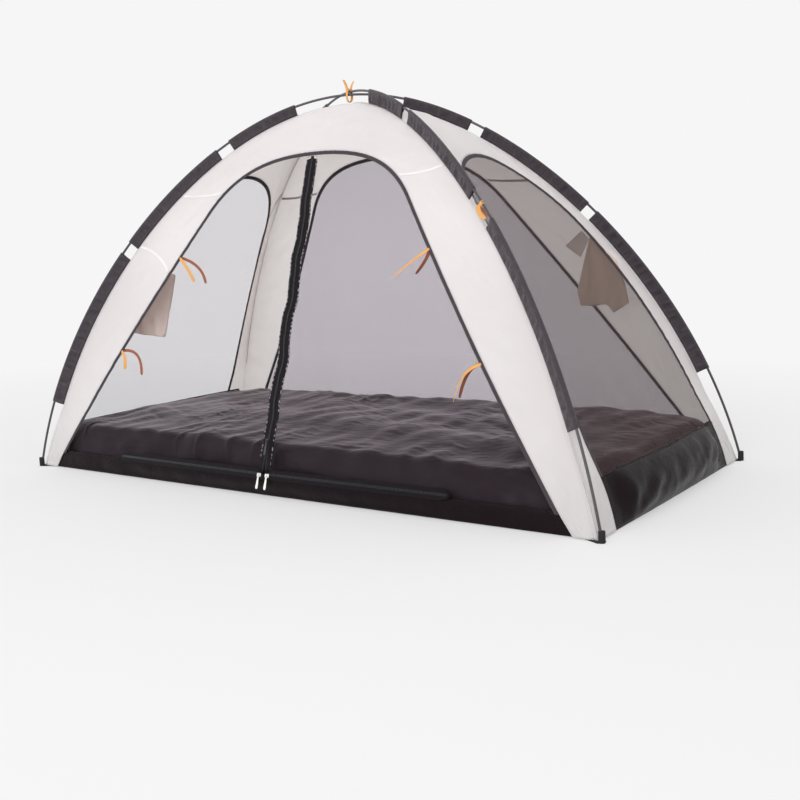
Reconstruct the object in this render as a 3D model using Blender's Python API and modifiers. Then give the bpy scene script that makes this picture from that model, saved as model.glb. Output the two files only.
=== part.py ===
"""Mosquito net tent for a single bed: two crossed bent poles in sleeves, a net canopy with a zipped
door, and a fitted base cover. Metres, +Z up, door side towards -Y, origin on the floor under the
crossing of the poles."""

import bpy
import bmesh
import math
import numpy as np
from mathutils import Matrix, Vector

# Overall sizes
BASE_HALF_LENGTH = 0.99
BASE_HALF_WIDTH = 0.445
CROWN_HEIGHT = 1.102

# Poles: bent fibreglass rods, joined by glued ferrules
POLE_RADIUS = 0.0035
POLE_CROWN_HANDLE = 0.429
POLE_FOOT_HANDLE = 0.597
POLE_FOOT_ANGLE = math.radians(77.5)
POLE_SEGMENTS = 20
POLE_SIDES = 8
POLE_GAP = 0.0004
POLE_TIP_HEIGHT = 0.0032
FERRULE_RADIUS = 0.0047
FERRULE_LENGTH = 0.060
FERRULE_CLEARANCE = 0.0004
FERRULE_CHAMFER = 0.0010
JOINT_SPACING = 0.470

# Sleeves and the seam that the canopy hangs from
SEAM_DROP = 0.033
FOOT_SEAM_DROP = 0.0105
SEAM_TAPER_HEIGHT = 0.210
SLEEVE_WALL = 0.0006
SLEEVE_CLEARANCE = 0.0006
SLEEVE_FLAT = 0.0010
SLEEVE_PINCH_SHARE = 0.5
SLEEVE_STATION_GAP = 0.010
SLEEVE_SPAN_SHARES = {
    "a_front": ((0.154, 0.348), (0.386, 0.664), (0.690, 0.942)),
    "a_back": ((0.150, 0.328), (0.362, 0.625), (0.646, 0.920)),
    "b_front": ((0.117, 0.290), (0.318, 0.590), (0.620, 0.930)),
    "b_back": ((0.140, 0.322), (0.355, 0.626), (0.652, 0.931)),
}

# Fabrics
SEW_GAP = 0.0004
CANOPY_THICKNESS = 0.0008
NET_THICKNESS = 0.0006
BINDING_WIDTH = 0.010
BINDING_THICKNESS = 0.0016
SEAM_MARGIN = 0.0012
APEX_MARGIN = 0.0040
SEAM_NEAR_SHARE = 0.97

# Centre lines of the long and the short walls: reach from the middle, and height
SIDE_TOP_REACH = 0.176
SIDE_SILL_REACH = 0.4548
SIDE_HEM_REACH = 0.447
SIDE_SILL_HEIGHT = 0.0646
SIDE_NET_BOTTOM = 0.048
SIDE_WINDOW_TOP = 0.920
END_TOP_REACH = 0.435
END_SILL_REACH = 0.955
END_HEM_REACH = 0.985
END_NET_BOTTOM = 0.120
END_WINDOW_TOP = 0.885
CANOPY_TOP_HANDLE = 0.090
CANOPY_WALL_HANDLE = 0.060

# Window outlines, as shares of the half base and of the crown height
SIDE_FOOT_SHARE = 0.887
SIDE_SHOULDER_SHARES = (0.364, 0.708)
SIDE_CORNER_SHARES = ((0.283, 0.808), (0.162, 0.835))
END_FOOT_SHARE = 0.775
END_LEG_SHARES = ((0.753, 0.309), (0.652, 0.499))
END_SHOULDER_SHARES = (0.528, 0.635)
END_CORNER_SHARES = ((0.427, 0.744), (0.225, 0.803))
LEG_COLUMNS = 8
CORNER_COLUMNS = 10
PANEL_ROWS = 3
NET_ROWS = 3

# Door: two flaps that fold about a straight line, and the zip between them
FLAP_FOOT = 0.600
FLAP_TOP = 0.0150
FOLD_GAP = 0.0005
TAPE_FOLD_GAP = 0.0014
TAPE_WIDTH = 0.0125
TAPE_THICKNESS = 0.0020
SLIT = 0.0010
TOOTH_PITCH = 0.0130
TOOTH_DEPTH = 0.0030
TOOTH_SHARE = 0.55
JUNCTION_RISE = 0.080
STRAND_PART = 0.0045
ZIP_TOP_GAP = 0.0010
SILL_TAPE_WIDTH = 0.0150

# Sliders and pulls
SLIDER_LENGTH = 0.0140
SLIDER_WIDTH = 0.0090
SLIDER_PLATE = 0.0012
SLIDER_GAP = 0.0004
NECK_WIDTH = 0.0004
NECK_LENGTH = 0.0040
CROWN_WIRE = 0.0008
CROWN_RADIUS = 0.0030
CROWN_RISE = 0.0010
PULL_LENGTH = 0.038
PULL_WIDTH = 0.0090
PULL_NARROW = 0.0050
PULL_THICKNESS = 0.0012
PULL_EYE_RADIUS = 0.0014
PULL_HEAD_RISE = 0.0007
SILL_SLIDER_OFFSET = 0.0145

# Base cover, skirt and foot pockets
COVER_END_GAP = 0.030
COVER_SIDE_GAP = 0.011
COVER_HALF_LENGTH = BASE_HALF_LENGTH - COVER_END_GAP
COVER_HALF_WIDTH = BASE_HALF_WIDTH - COVER_SIDE_GAP
COVER_TOP = 0.135
COVER_WALL = 0.0012
COVER_SHOULDER = 0.060
COVER_SHOULDER_HEIGHT = 0.090
COVER_CORNER_POWER = 10
COVER_CROWN = 0.006
COVER_COLUMNS = 22
COVER_ROWS = 14
COVER_TOP_SHARE = 0.72
COVER_BEND_SHARE = 0.75
BASE_LIFT = 0.0024
SKIRT_THICKNESS = 0.0008
SKIRT_INSET = 0.0028
SKIRT_SAG = 0.0031
SKIRT_LAP = 0.008
SKIRT_CORNER_SHARE = 0.93
SKIRT_HANDLE_SHARE = 0.55
SKIRT_WALL_STEPS = 9
SKIRT_CORNER_STEPS = 5
HEM_THICKNESS = 0.0020
HEM_CORNER_POWER = 14
FOOT_RADIUS = 0.0080
FOOT_HEIGHT = 0.026
FOOT_BORE_RADIUS = 0.0042
FOOT_FLOOR = 0.0028
FOOT_TAB_LENGTH = 0.045
FOOT_TAB_WIDTH = 0.024
FOOT_TAB_THICKNESS = 0.0020

# Ribbons and pockets; a ribbon has its side, its height, and its lean inwards and down
UPPER_TIE_HEIGHT = 0.645
LOWER_TIE_HEIGHT = 0.370
RIBBON_WIDTH = 0.010
RIBBON_THICKNESS = 0.0008
RIBBON_LENGTH = 0.100
RIBBON_STEPS = 4
RIBBON_PLACES = {
    "upper_left": (-1, UPPER_TIE_HEIGHT, 0.95, 0.95),
    "lower_left": (-1, LOWER_TIE_HEIGHT, 0.80, 0.60),
    "upper_right": (1, UPPER_TIE_HEIGHT, 1.00, 0.42),
    "lower_right": (1, LOWER_TIE_HEIGHT, 0.70, 1.10),
}
RIBBON_CLEARANCE = 0.0004
RIBBON_OUTER_LIFT = 0.006
RIBBON_INNER_LIFT = 0.020
TIE_HALF_SPREAD = 0.0125
TIE_TAIL_RISE = 0.030
TIE_WRAP_STEPS = 4
TIE_START_SHARE = 0.5
TIE_END_SHARE = 0.3
TIE_BEND_RADII = 1.3
TIE_END_RADII = 3
TIE_TAIL_LEAN = 0.012
POCKET_WIDTH = 0.125
POCKET_DROP = 0.210
POCKET_TOP_DROP = 0.095
POCKET_RIGHT_TOP = 0.655
POCKET_LEFT_TOP = 0.620
POCKET_STEPS = 4
POCKET_THICKNESS = 0.006
POCKET_CLEARANCE = 0.0004
BORE_OVERRUN = 0.010

DIAGONAL = math.hypot(BASE_HALF_LENGTH, BASE_HALF_WIDTH)
ALONG_X = BASE_HALF_LENGTH / DIAGONAL
ALONG_Y = BASE_HALF_WIDTH / DIAGONAL
UPPER_POLE_LIFT = 2 * POLE_RADIUS + POLE_GAP
LOWER_CROWN = CROWN_HEIGHT - UPPER_POLE_LIFT
APEX_HEIGHT = CROWN_HEIGHT - SEAM_DROP


def bezier(points, count):
    """Points of a cubic curve through its first and last control point."""
    a, b, c, d = (np.array(point, dtype=float) for point in points)
    t = np.linspace(0.0, 1.0, count)[:, None]
    return (1 - t) ** 3 * a + 3 * t * (1 - t) ** 2 * b + 3 * t ** 2 * (1 - t) * c + t ** 3 * d


def lengths(points):
    """Distance along a polyline at each of its points."""
    steps = np.linalg.norm(np.diff(points, axis=0), axis=1)
    return np.concatenate(([0.0], np.cumsum(steps)))


def along(points, distance):
    """Point at a distance along a polyline."""
    marks = lengths(points)
    return np.array([np.interp(distance, marks, column) for column in points.T])


def evenly(points, segments):
    """The same line as equal steps."""
    total = lengths(points)[-1]
    return np.array([along(points, total * i / segments) for i in range(segments + 1)])


def pole_leg(crown):
    """Half a pole from the crown to its foot, as reach from the middle and height."""
    foot_handle = (DIAGONAL - POLE_FOOT_HANDLE * math.cos(POLE_FOOT_ANGLE),
                   POLE_FOOT_HANDLE * math.sin(POLE_FOOT_ANGLE))
    curve = bezier(((0.0, crown), (POLE_CROWN_HANDLE, crown), foot_handle,
                    (DIAGONAL, POLE_TIP_HEIGHT)), 200)
    return evenly(curve, POLE_SEGMENTS)


def seam_leg():
    """Half a seam, which follows the pole at the sleeve's width and closes in at the foot."""
    curve = pole_leg(CROWN_HEIGHT)
    tangent = np.gradient(curve, axis=0)
    tangent /= np.linalg.norm(tangent, axis=1)[:, None]
    inward = np.stack((tangent[:, 1], -tangent[:, 0]), axis=1)
    taper = np.clip(curve[:, 1] / SEAM_TAPER_HEIGHT, 0.0, 1.0)
    drop = FOOT_SEAM_DROP + (SEAM_DROP - FOOT_SEAM_DROP) * taper
    seam = curve + inward * drop[:, None]
    seam[0] = (0.0, APEX_HEIGHT)
    seam[-1][1] = BASE_LIFT
    return seam


SEAM = seam_leg()
SEAM_REACHES = SEAM[::-1, 0]
SEAM_HEIGHTS = SEAM[::-1, 1]


def seam_reach(height):
    """Reach of the seam from the middle, along its diagonal."""
    return float(np.interp(height, SEAM_HEIGHTS, SEAM_REACHES))


def centre_line(top, sill, hem, straight_end):
    """Reach and height down the middle of a wall: crown, straight net, then the turned-in skirt."""
    slope = np.array(top) - np.array(sill)
    slope /= np.linalg.norm(slope)
    crown = bezier((top, top + slope * CANOPY_WALL_HANDLE, (CANOPY_TOP_HANDLE * top[0] / SIDE_TOP_REACH,
                    APEX_HEIGHT), (0.0, APEX_HEIGHT)), 60)
    bottom = np.array(sill) - slope * (sill[1] - straight_end) / slope[1]
    skirt = bezier((hem, (hem[0], straight_end / 3), bottom - slope * straight_end / 3, bottom), 20)
    line = np.concatenate((skirt, crown))
    return line[:, 0], line[:, 1]


class Wall:
    """One wall of the tent, described facing -Y: across is X, outward is -Y."""

    def __init__(self, name, turn, side):
        self.name = name
        self.turn = math.radians(turn)
        self.side = side
        self.half = BASE_HALF_LENGTH if side else BASE_HALF_WIDTH
        self.across_share = ALONG_X if side else ALONG_Y
        self.outward_share = ALONG_Y if side else ALONG_X
        self.net_bottom = SIDE_NET_BOTTOM if side else END_NET_BOTTOM
        self.window_top = SIDE_WINDOW_TOP if side else END_WINDOW_TOP
        if side:
            line = centre_line((SIDE_TOP_REACH, SIDE_WINDOW_TOP), (SIDE_SILL_REACH, SIDE_SILL_HEIGHT),
                               (SIDE_HEM_REACH, 0.0), SIDE_NET_BOTTOM)
        else:
            line = centre_line((END_TOP_REACH, END_WINDOW_TOP), (END_SILL_REACH, END_NET_BOTTOM),
                               (END_HEM_REACH, 0.0), END_NET_BOTTOM)
        self.reaches, self.heights = line
        self.outline = self.half_window()

    def half_window(self):
        """Half the window's edge, from its foot to the middle of its top."""
        def spot(shares):
            return (shares[0] * self.half, shares[1] * CROWN_HEIGHT)
        top = (0.0, self.window_top)
        if self.side:
            foot = np.array((SIDE_FOOT_SHARE * self.half, self.net_bottom))
            shoulder = np.array(spot(SIDE_SHOULDER_SHARES))
            handles = (foot + (shoulder - foot) / 3, shoulder - (shoulder - foot) / 3)
            corner = [spot(shares) for shares in SIDE_CORNER_SHARES]
        else:
            foot = (END_FOOT_SHARE * self.half, self.net_bottom)
            shoulder = spot(END_SHOULDER_SHARES)
            handles = [spot(shares) for shares in END_LEG_SHARES]
            corner = [spot(shares) for shares in END_CORNER_SHARES]
        corner[1] = (corner[1][0], self.window_top)
        leg = evenly(bezier((foot, *handles, shoulder), 60), LEG_COLUMNS)
        bend = evenly(bezier((shoulder, *corner, top), 60), CORNER_COLUMNS)
        return np.concatenate((leg, bend[1:]))

    def arch(self, inset, hem=False):
        """Window edge from left foot to right foot, moved out of the opening by inset."""
        half = self.outline
        tangent = np.gradient(half, axis=0)
        tangent[-1] = (-1.0, 0.0)
        tangent /= np.linalg.norm(tangent, axis=1)[:, None]
        outward = np.stack((tangent[:, 1], -tangent[:, 0]), axis=1)
        moved = half + outward * inset
        moved[0] = half[0] + (inset / outward[0][0], 0.0)
        if hem:
            fall = tangent[0] * (moved[0][1] - BASE_LIFT) / tangent[0][1]
            moved = np.concatenate(([moved[0] - fall, moved[0] - fall / 2], moved))
        return np.concatenate((moved * (-1, 1), moved[:-1][::-1]))

    def seam_point(self, column):
        """Point of the seam at a pole station, counted from the left foot to the right foot."""
        station = POLE_SEGMENTS - column
        reach, height = SEAM[abs(station)]
        side = -1 if station > 0 else 1
        return Vector((side * reach * self.across_share, -reach * self.outward_share, height))

    def reach(self, across, height):
        """How far out the wall stands at a place."""
        seam = seam_reach(height)
        middle = float(np.interp(height, self.heights, self.reaches))
        edge = seam * self.outward_share
        half_span = max(seam * self.across_share, 1e-6)
        share = min(abs(across) / half_span, 1.0)
        return edge - (edge - middle) * (1 - share ** 2)

    def place(self, across, height, lift=0.0):
        """A point of the wall, lift being a step outwards."""
        return Vector((across, -(self.reach(across, height) + lift), height))

    def world(self, point):
        """The same point after the wall is turned to its side."""
        return Matrix.Rotation(self.turn, 4, "Z") @ point


FRONT = Wall("front", 0, True)
RIGHT = Wall("right", 90, False)
BACK = Wall("back", 180, True)
LEFT = Wall("left", -90, False)
WALLS = (FRONT, RIGHT, BACK, LEFT)


def material(name, color, roughness, metallic=0.0, alpha=1.0):
    """A plain Principled finish."""
    made = bpy.data.materials.new(name)
    made.use_nodes = True
    shader = made.node_tree.nodes["Principled BSDF"]
    shader.inputs["Base Color"].default_value = (*color, 1.0)
    shader.inputs["Roughness"].default_value = roughness
    shader.inputs["Metallic"].default_value = metallic
    shader.inputs["Alpha"].default_value = alpha
    made.diffuse_color = (*color, alpha)
    return made


def clear_scene():
    """Remove the startup objects."""
    for item in list(bpy.data.objects):
        bpy.data.objects.remove(item)


def new_collection(name):
    """A named collection in the scene."""
    made = bpy.data.collections.new(name)
    bpy.context.scene.collection.children.link(made)
    return made


def link(item, finish):
    """Give an object its finish and put it in the tent's collection."""
    if not item.data.materials:
        item.data.materials.append(finish)
    TENT.objects.link(item)
    return item


def object_from(name, bm, finish, smooth=True):
    """A mesh object from a bmesh, its faces pointing out."""
    mesh = bpy.data.meshes.new(name)
    bmesh.ops.recalc_face_normals(bm, faces=bm.faces)
    bm.to_mesh(mesh)
    bm.free()
    item = bpy.data.objects.new(name, mesh)
    if smooth:
        mesh.shade_smooth()
        mesh.set_sharp_from_angle(angle=math.radians(40))
    return link(item, finish)


def thicken(item, thickness, offset=0.0):
    """Turn an open sheet into a shell."""
    shell = item.modifiers.new("thickness", "SOLIDIFY")
    shell.thickness = thickness
    shell.offset = offset
    return item


def sheet(name, columns, rows, place, thickness, finish, offset=0.0):
    """A grid moved onto a surface and given its thickness. place takes column and row numbers."""
    bm = bmesh.new()
    bmesh.ops.create_grid(bm, x_segments=columns, y_segments=rows, size=0.5)
    for vertex in bm.verts:
        column = round((vertex.co.x + 0.5) * columns)
        row = round((vertex.co.y + 0.5) * rows)
        vertex.co = place(column, row)
    bmesh.ops.remove_doubles(bm, verts=bm.verts, dist=1e-6)
    bmesh.ops.dissolve_degenerate(bm, edges=bm.edges, dist=1e-6)
    return thicken(object_from(name, bm, finish), thickness, offset)


def loft(name, rings, finish, closed=False, caps=True, turned=()):
    """A skin over rings of equal count, for tubes on a bent line and for bands. The strips in turned
    are split the other way, so that both sides of a thin wall bend alike."""
    bm = bmesh.new()
    loops = [[bm.verts.new(point) for point in ring] for ring in rings]
    count = len(rings[0])
    pairs = list(zip(loops, loops[1:]))
    if closed:
        pairs.append((loops[-1], loops[0]))
    for first, second in pairs:
        for i in range(count):
            j = (i + 1) % count
            corners = (first[i], first[j], second[j], second[i])
            bm.faces.new(corners[1:] + corners[:1] if i in turned else corners)
    if caps and not closed:
        bm.faces.new(loops[0][::-1])
        bm.faces.new(loops[-1])
    return object_from(name, bm, finish)


def flat_outline(name, points, thickness, finish, matrix):
    """A closed flat outline with thickness, as a mesh, placed by a matrix."""
    curve = bpy.data.curves.new(name, "CURVE")
    curve.dimensions = "2D"
    curve.fill_mode = "BOTH"
    curve.extrude = thickness / 2
    spline = curve.splines.new("POLY")
    spline.points.add(len(points) - 1)
    for spot, point in zip(spline.points, points):
        spot.co = (point[0], point[1], 0.0, 1.0)
    spline.use_cyclic_u = True
    drawn = bpy.data.objects.new(name, curve)
    TENT.objects.link(drawn)
    bpy.context.view_layer.update()
    depsgraph = bpy.context.evaluated_depsgraph_get()
    mesh = bpy.data.meshes.new_from_object(drawn.evaluated_get(depsgraph))
    bpy.data.objects.remove(drawn)
    bm = bmesh.new()
    bm.from_mesh(mesh)
    bmesh.ops.remove_doubles(bm, verts=bm.verts, dist=1e-6)
    bpy.data.meshes.remove(mesh)
    item = object_from(name, bm, finish, smooth=False)
    item.matrix_world = matrix
    return item


def bent_rod(profile, axis, sides):
    """Rings for a turned profile of (distance, radius) along a bent plane line in 3-D."""
    rings = []
    marks = lengths(axis)
    normal = np.cross(axis[-1] - axis[0], (0.0, 0.0, 1.0))
    if np.linalg.norm(normal) < 1e-9:
        normal = np.array((0.0, 1.0, 0.0))
    normal /= np.linalg.norm(normal)
    for distance, radius in profile:
        centre = np.array([np.interp(distance, marks, column) for column in axis.T])
        tangent = line_tangent(axis, marks, distance)
        second = np.cross(tangent, normal)
        ring = []
        for i in range(sides):
            angle = 2 * math.pi * (i + 0.5) / sides
            ring.append(centre + radius * (math.cos(angle) * normal + math.sin(angle) * second))
        rings.append(ring)
    return rings


def line_tangent(axis, marks, distance):
    """Direction of a polyline, averaged where two of its pieces meet."""
    reach = (marks[1] - marks[0]) / 2
    before = np.array([np.interp(distance - reach, marks, column) for column in axis.T])
    after = np.array([np.interp(distance + reach, marks, column) for column in axis.T])
    step = after - before
    return step / np.linalg.norm(step)


def pole_axis(across, crown):
    """Centre line of a whole pole from its front foot to its back foot; across is its lean in X."""
    leg = pole_leg(crown)
    points = []
    for reach, height in leg[::-1]:
        points.append((-across * reach * ALONG_X, -reach * ALONG_Y, height))
    for reach, height in leg[1:]:
        points.append((across * reach * ALONG_X, reach * ALONG_Y, height))
    return np.array(points)


def pole_piece(name, axis, start, end, bumps, plug_start, socket_end):
    """A length of pole with its glued ferrules. A plug goes into the next piece's socket."""
    marks = lengths(axis)
    half = FERRULE_LENGTH / 2
    first = start - half + POLE_GAP if plug_start else start
    last = end + half if socket_end else end
    profile = [(first, POLE_RADIUS)]
    bends = [mark for mark in marks if first + POLE_RADIUS < mark < last - POLE_RADIUS]
    events = []
    for centre in bumps:
        events.append((centre - half, centre + half))
    if socket_end:
        events.append((end - half, end + half))
    stops = sorted(bends)
    for low, high in events:
        stops = [mark for mark in stops if not low - POLE_RADIUS < mark < low + POLE_RADIUS]
        stops = [mark for mark in stops if not high - POLE_RADIUS < mark < high + POLE_RADIUS]
    def radius_at(mark):
        return FERRULE_RADIUS if any(low < mark < high for low, high in events) else POLE_RADIUS
    points = [(mark, radius_at(mark)) for mark in stops]
    for low, high in events:
        points += [(low - FERRULE_CHAMFER, POLE_RADIUS), (low, FERRULE_RADIUS)]
        if high < last:
            points += [(high, FERRULE_RADIUS), (high + FERRULE_CHAMFER, POLE_RADIUS)]
    profile += sorted(points)
    if not socket_end:
        profile.append((last, POLE_RADIUS))
        return loft(name, bent_rod(profile, axis, POLE_SIDES), FIBREGLASS)
    bore = POLE_RADIUS + FERRULE_CLEARANCE
    profile.append((last, FERRULE_RADIUS))
    inside = [mark for mark in marks if end - half < mark < last]
    floor = end - half
    profile.append((last, bore))
    for mark in sorted(inside, reverse=True):
        if floor + POLE_RADIUS < mark < last - POLE_RADIUS:
            profile.append((mark, bore))
    profile.append((floor, bore))
    return loft(name, bent_rod(profile, axis, POLE_SIDES), FIBREGLASS)


def poles():
    """Two poles of three pieces: front leg, crown and back leg. The second passes over the first."""
    for label, across, crown in (("a", 1, LOWER_CROWN), ("b", -1, CROWN_HEIGHT)):
        axis = pole_axis(across, crown)
        total = lengths(axis)[-1]
        middle = total / 2
        inner = JOINT_SPACING / 2
        joint = inner + JOINT_SPACING
        outer = joint + JOINT_SPACING
        pole_piece("pole_" + label + "_front", axis, 0.0, middle - joint, [middle - outer], False, True)
        pole_piece("pole_" + label + "_crown", axis, middle - joint, middle + joint,
                   [middle - inner, middle + inner], True, True)
        pole_piece("pole_" + label + "_back", axis, middle + joint, total, [middle + outer], True, False)


def sleeve_section(centre, inward, binormal, drop):
    """Drop-shaped section of a flat sleeve: round over the pole, flat where it is sewn."""
    radius = (FERRULE_RADIUS + SLEEVE_CLEARANCE + SLEEVE_WALL) / math.cos(math.pi / 8)
    shape = [(drop, SLEEVE_FLAT), (drop * SLEEVE_PINCH_SHARE, radius * SLEEVE_PINCH_SHARE)]
    for i in range(5):
        angle = math.pi / 2 + math.pi * i / 4
        shape.append((radius * math.cos(angle), radius * math.sin(angle)))
    shape += [(drop * SLEEVE_PINCH_SHARE, -radius * SLEEVE_PINCH_SHARE), (drop, -SLEEVE_FLAT)]
    return [centre + inward * along_drop + binormal * across for along_drop, across in shape]


def sleeves():
    """Three sleeves on each leg, open at both ends so that the pole runs through."""
    for label, across, crown in (("a", 1, LOWER_CROWN), ("b", -1, CROWN_HEIGHT)):
        axis = pole_axis(across, crown)
        marks = lengths(axis)
        total = marks[-1]
        direction = np.array((across * ALONG_X, ALONG_Y, 0.0))
        binormal = np.array((-direction[1], direction[0], 0.0))
        for end, sign in (("front", -1), ("back", 1)):
            for number, span in enumerate(SLEEVE_SPAN_SHARES[label + "_" + end], start=1):
                reaches = [abs(np.dot(point, direction)) for point in axis]
                half_marks = [mark - total / 2 for mark in marks]
                side = [(reach, mark) for reach, mark in zip(reaches, half_marks) if mark * sign >= -1e-9]
                side.sort()
                limits = [np.interp(share * DIAGONAL, [item[0] for item in side],
                                    [abs(item[1]) for item in side]) for share in span]
                stops = [limits[0]]
                stops += [abs(mark) for reach, mark in side
                          if limits[0] + SLEEVE_STATION_GAP < abs(mark) < limits[1] - SLEEVE_STATION_GAP]
                stops.append(limits[1])
                rings = []
                for stop in stops:
                    distance = total / 2 + sign * stop
                    centre = np.array([np.interp(distance, marks, column) for column in axis.T])
                    tangent = line_tangent(axis, marks, distance)
                    inward = np.cross(binormal, tangent)
                    inward = -inward if inward[2] > 0 else inward
                    drop = sleeve_drop(centre, inward, direction) - SEAM_MARGIN
                    rings.append([Vector(point) for point in sleeve_section(centre, inward, binormal, drop)])
                item = loft("sleeve_" + label + "_" + end + "_" + str(number), rings, SLEEVE, caps=False)
                thicken(item, SLEEVE_WALL, -1.0)


def sleeve_drop(centre, inward, direction):
    """Distance from the pole to the seam, in the pole's own plane."""
    reach = abs(np.dot(centre, direction))
    step = np.array((np.dot(inward, direction) * np.sign(np.dot(centre, direction)), inward[2]))
    low, high = 0.0, 2 * SEAM_DROP
    for _ in range(30):
        middle = (low + high) / 2
        spot = np.array((reach, centre[2])) + step * middle
        if spot[0] > seam_reach(spot[1]):
            low = middle
        else:
            high = middle
    return low


def panels():
    """The white frames between the seams and the windows, one to a wall."""
    for wall in WALLS:
        inner = wall.arch(BINDING_WIDTH / 2 + SEW_GAP, hem=True)
        columns = len(inner) - 1
        def spot(column, share):
            edge = wall.seam_point(column)
            return wall.place(*(inner[column] * (1 - share) + np.array((edge.x, edge.z)) * share))
        def place(column, row):
            if row < PANEL_ROWS:
                return spot(column, row / PANEL_ROWS)
            edge = wall.seam_point(column)
            margin = APEX_MARGIN if 2 * column == columns else SEAM_MARGIN
            return edge + (spot(column, SEAM_NEAR_SHARE) - edge).normalized() * margin
        item = sheet(wall.name + "_panel", columns, PANEL_ROWS, place, CANOPY_THICKNESS, CANOPY)
        item.rotation_euler.z = wall.turn


def bindings():
    """Dark tape round each window."""
    for wall in WALLS:
        edges = (wall.arch(-BINDING_WIDTH / 2), wall.arch(BINDING_WIDTH / 2))
        def place(column, row):
            return wall.place(*edges[row][column])
        item = sheet(wall.name + "_binding", len(edges[0]) - 1, 1, place, BINDING_THICKNESS, BINDING)
        item.rotation_euler.z = wall.turn


def fixed_nets():
    """Net in the back and end windows, from the binding down to the sill."""
    for wall in (RIGHT, BACK, LEFT):
        edge = wall.arch(-BINDING_WIDTH / 2 - SEW_GAP)
        columns = len(edge) - 1
        def place(column, row):
            share = row / NET_ROWS
            foot = edge[0][0] + (edge[-1][0] - edge[0][0]) * column / columns
            spot = edge[column] * (1 - share) + np.array((foot, wall.net_bottom)) * share
            return wall.place(*spot)
        item = sheet(wall.name + "_net", columns, NET_ROWS, place, NET_THICKNESS, NET)
        item.rotation_euler.z = wall.turn


class Flap:
    """The flat triangle of one door flap: its corners and its own frame on the zip line."""

    def __init__(self, sign):
        self.sign = sign
        top_height = SIDE_WINDOW_TOP - BINDING_WIDTH / 2 - SEW_GAP - ZIP_TOP_GAP
        self.bottom = FRONT.place(0.0, SIDE_SILL_HEIGHT)
        self.top = FRONT.place(0.0, top_height)
        self.foot = FRONT.place(sign * FLAP_FOOT, SIDE_SILL_HEIGHT)
        up = (self.top - self.bottom).normalized()
        normal = up.cross(self.foot - self.bottom).normalized()
        if normal.y > 0:
            normal = -normal
        side = (self.foot - self.bottom) - up * up.dot(self.foot - self.bottom)
        side.normalize()
        self.up, self.side, self.normal = up, side, normal
        self.length = (self.top - self.bottom).length
        self.foot_uv = (side.dot(self.foot - self.bottom), up.dot(self.foot - self.bottom))
        self.top_uv = (FLAP_TOP, self.length)

    def matrix(self):
        """Frame of the flap: x away from the zip, y up the zip, z square to the net."""
        third = self.side.cross(self.up)
        made = Matrix((self.side, self.up, third)).transposed().to_4x4()
        made.translation = self.bottom
        return made

    def point(self, u, v):
        """A point of the flap's plane."""
        return self.bottom + self.side * u + self.up * v

    def sill(self, u, rise):
        """Flat point at a distance u from the zip, a step above the sill line."""
        return np.array((u, u * self.foot_uv[1] / self.foot_uv[0] + rise))

    def fold(self, height_share, inset):
        """Flat point on the fold line, from its foot to its top, moved into the flap by inset."""
        foot, top = np.array(self.foot_uv), np.array(self.top_uv)
        line = (top - foot) / np.linalg.norm(top - foot)
        return foot + (top - foot) * height_share + np.array((-line[1], line[0])) * inset

    def corner(self, inset, rise):
        """Where the fold line, moved in by inset, meets the sill line moved up by rise."""
        return line_meet(self.fold(0.0, inset), self.fold(1.0, inset), self.sill(0.0, rise),
                         self.sill(1.0, rise))

    def fold_at(self, inset, u):
        """Where the fold line, moved in by inset, passes a distance u from the zip."""
        return line_meet(self.fold(0.0, inset), self.fold(1.0, inset), np.array((u, 0.0)),
                         np.array((u, 1.0)))

    def fold_top(self, inset):
        """Where the fold line, moved in by inset, reaches the top of the zip."""
        return line_meet(self.fold(0.0, inset), self.fold(1.0, inset), np.array((0.0, self.length)),
                         np.array((1.0, self.length)))

    def axis(self):
        """Hinge axis: a point on the fold line and the direction that swings the flap outwards."""
        foot, top = self.point(*self.foot_uv), self.point(*self.top_uv)
        down = (foot - top).normalized()
        return foot, down if self.sign < 0 else -down


def line_meet(first, second, third, fourth):
    """Where the flat line through two points meets the line through two others."""
    along_one, along_two = second - first, fourth - third
    cross = along_one[0] * along_two[1] - along_one[1] * along_two[0]
    gap = third - first
    return first + along_one * (gap[0] * along_two[1] - gap[1] * along_two[0]) / cross


def door_nets(flaps):
    """The two hinged nets of the door."""
    for label, flap in flaps.items():
        inner = TAPE_WIDTH + SEW_GAP + SLIT / 2
        points = [flap.sill(inner, inner), flap.corner(FOLD_GAP, inner)]
        if flap.fold_top(FOLD_GAP)[0] > inner:
            points += [flap.fold_top(FOLD_GAP), np.array((inner, flap.length))]
        else:
            points.append(flap.fold_at(FOLD_GAP, inner))
        item = flat_outline("door_" + label + "_net", points, NET_THICKNESS, NET, flap.matrix())
        hinge_parent(item, label, flap)


def hinge_parent(item, label, flap):
    """Carry a piece on the empty that stands on its flap's fold line."""
    name = "door_" + label + "_hinge"
    if name not in bpy.data.objects:
        empty = bpy.data.objects.new(name, None)
        empty.location = flap.axis()[0]
        empty.rotation_euler = flap.axis()[1].to_track_quat("Z", "Y").to_euler()
        TENT.objects.link(empty)
        bpy.context.view_layer.update()
    empty = bpy.data.objects[name]
    item.parent = empty
    item.matrix_parent_inverse = empty.matrix_world.inverted()


def teeth(start, end, phase):
    """Outline of a toothed edge going up from start to end, as (distance from the zip line, height)."""
    root = SLIT / 2 + TOOTH_DEPTH
    tip = SLIT / 2
    points = []
    tooth = TOOTH_PITCH * TOOTH_SHARE
    height = start + phase
    while height + tooth < end:
        points += [(root, height), (tip, height), (tip, height + tooth), (root, height + tooth)]
        height += TOOTH_PITCH
    return points


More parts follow.
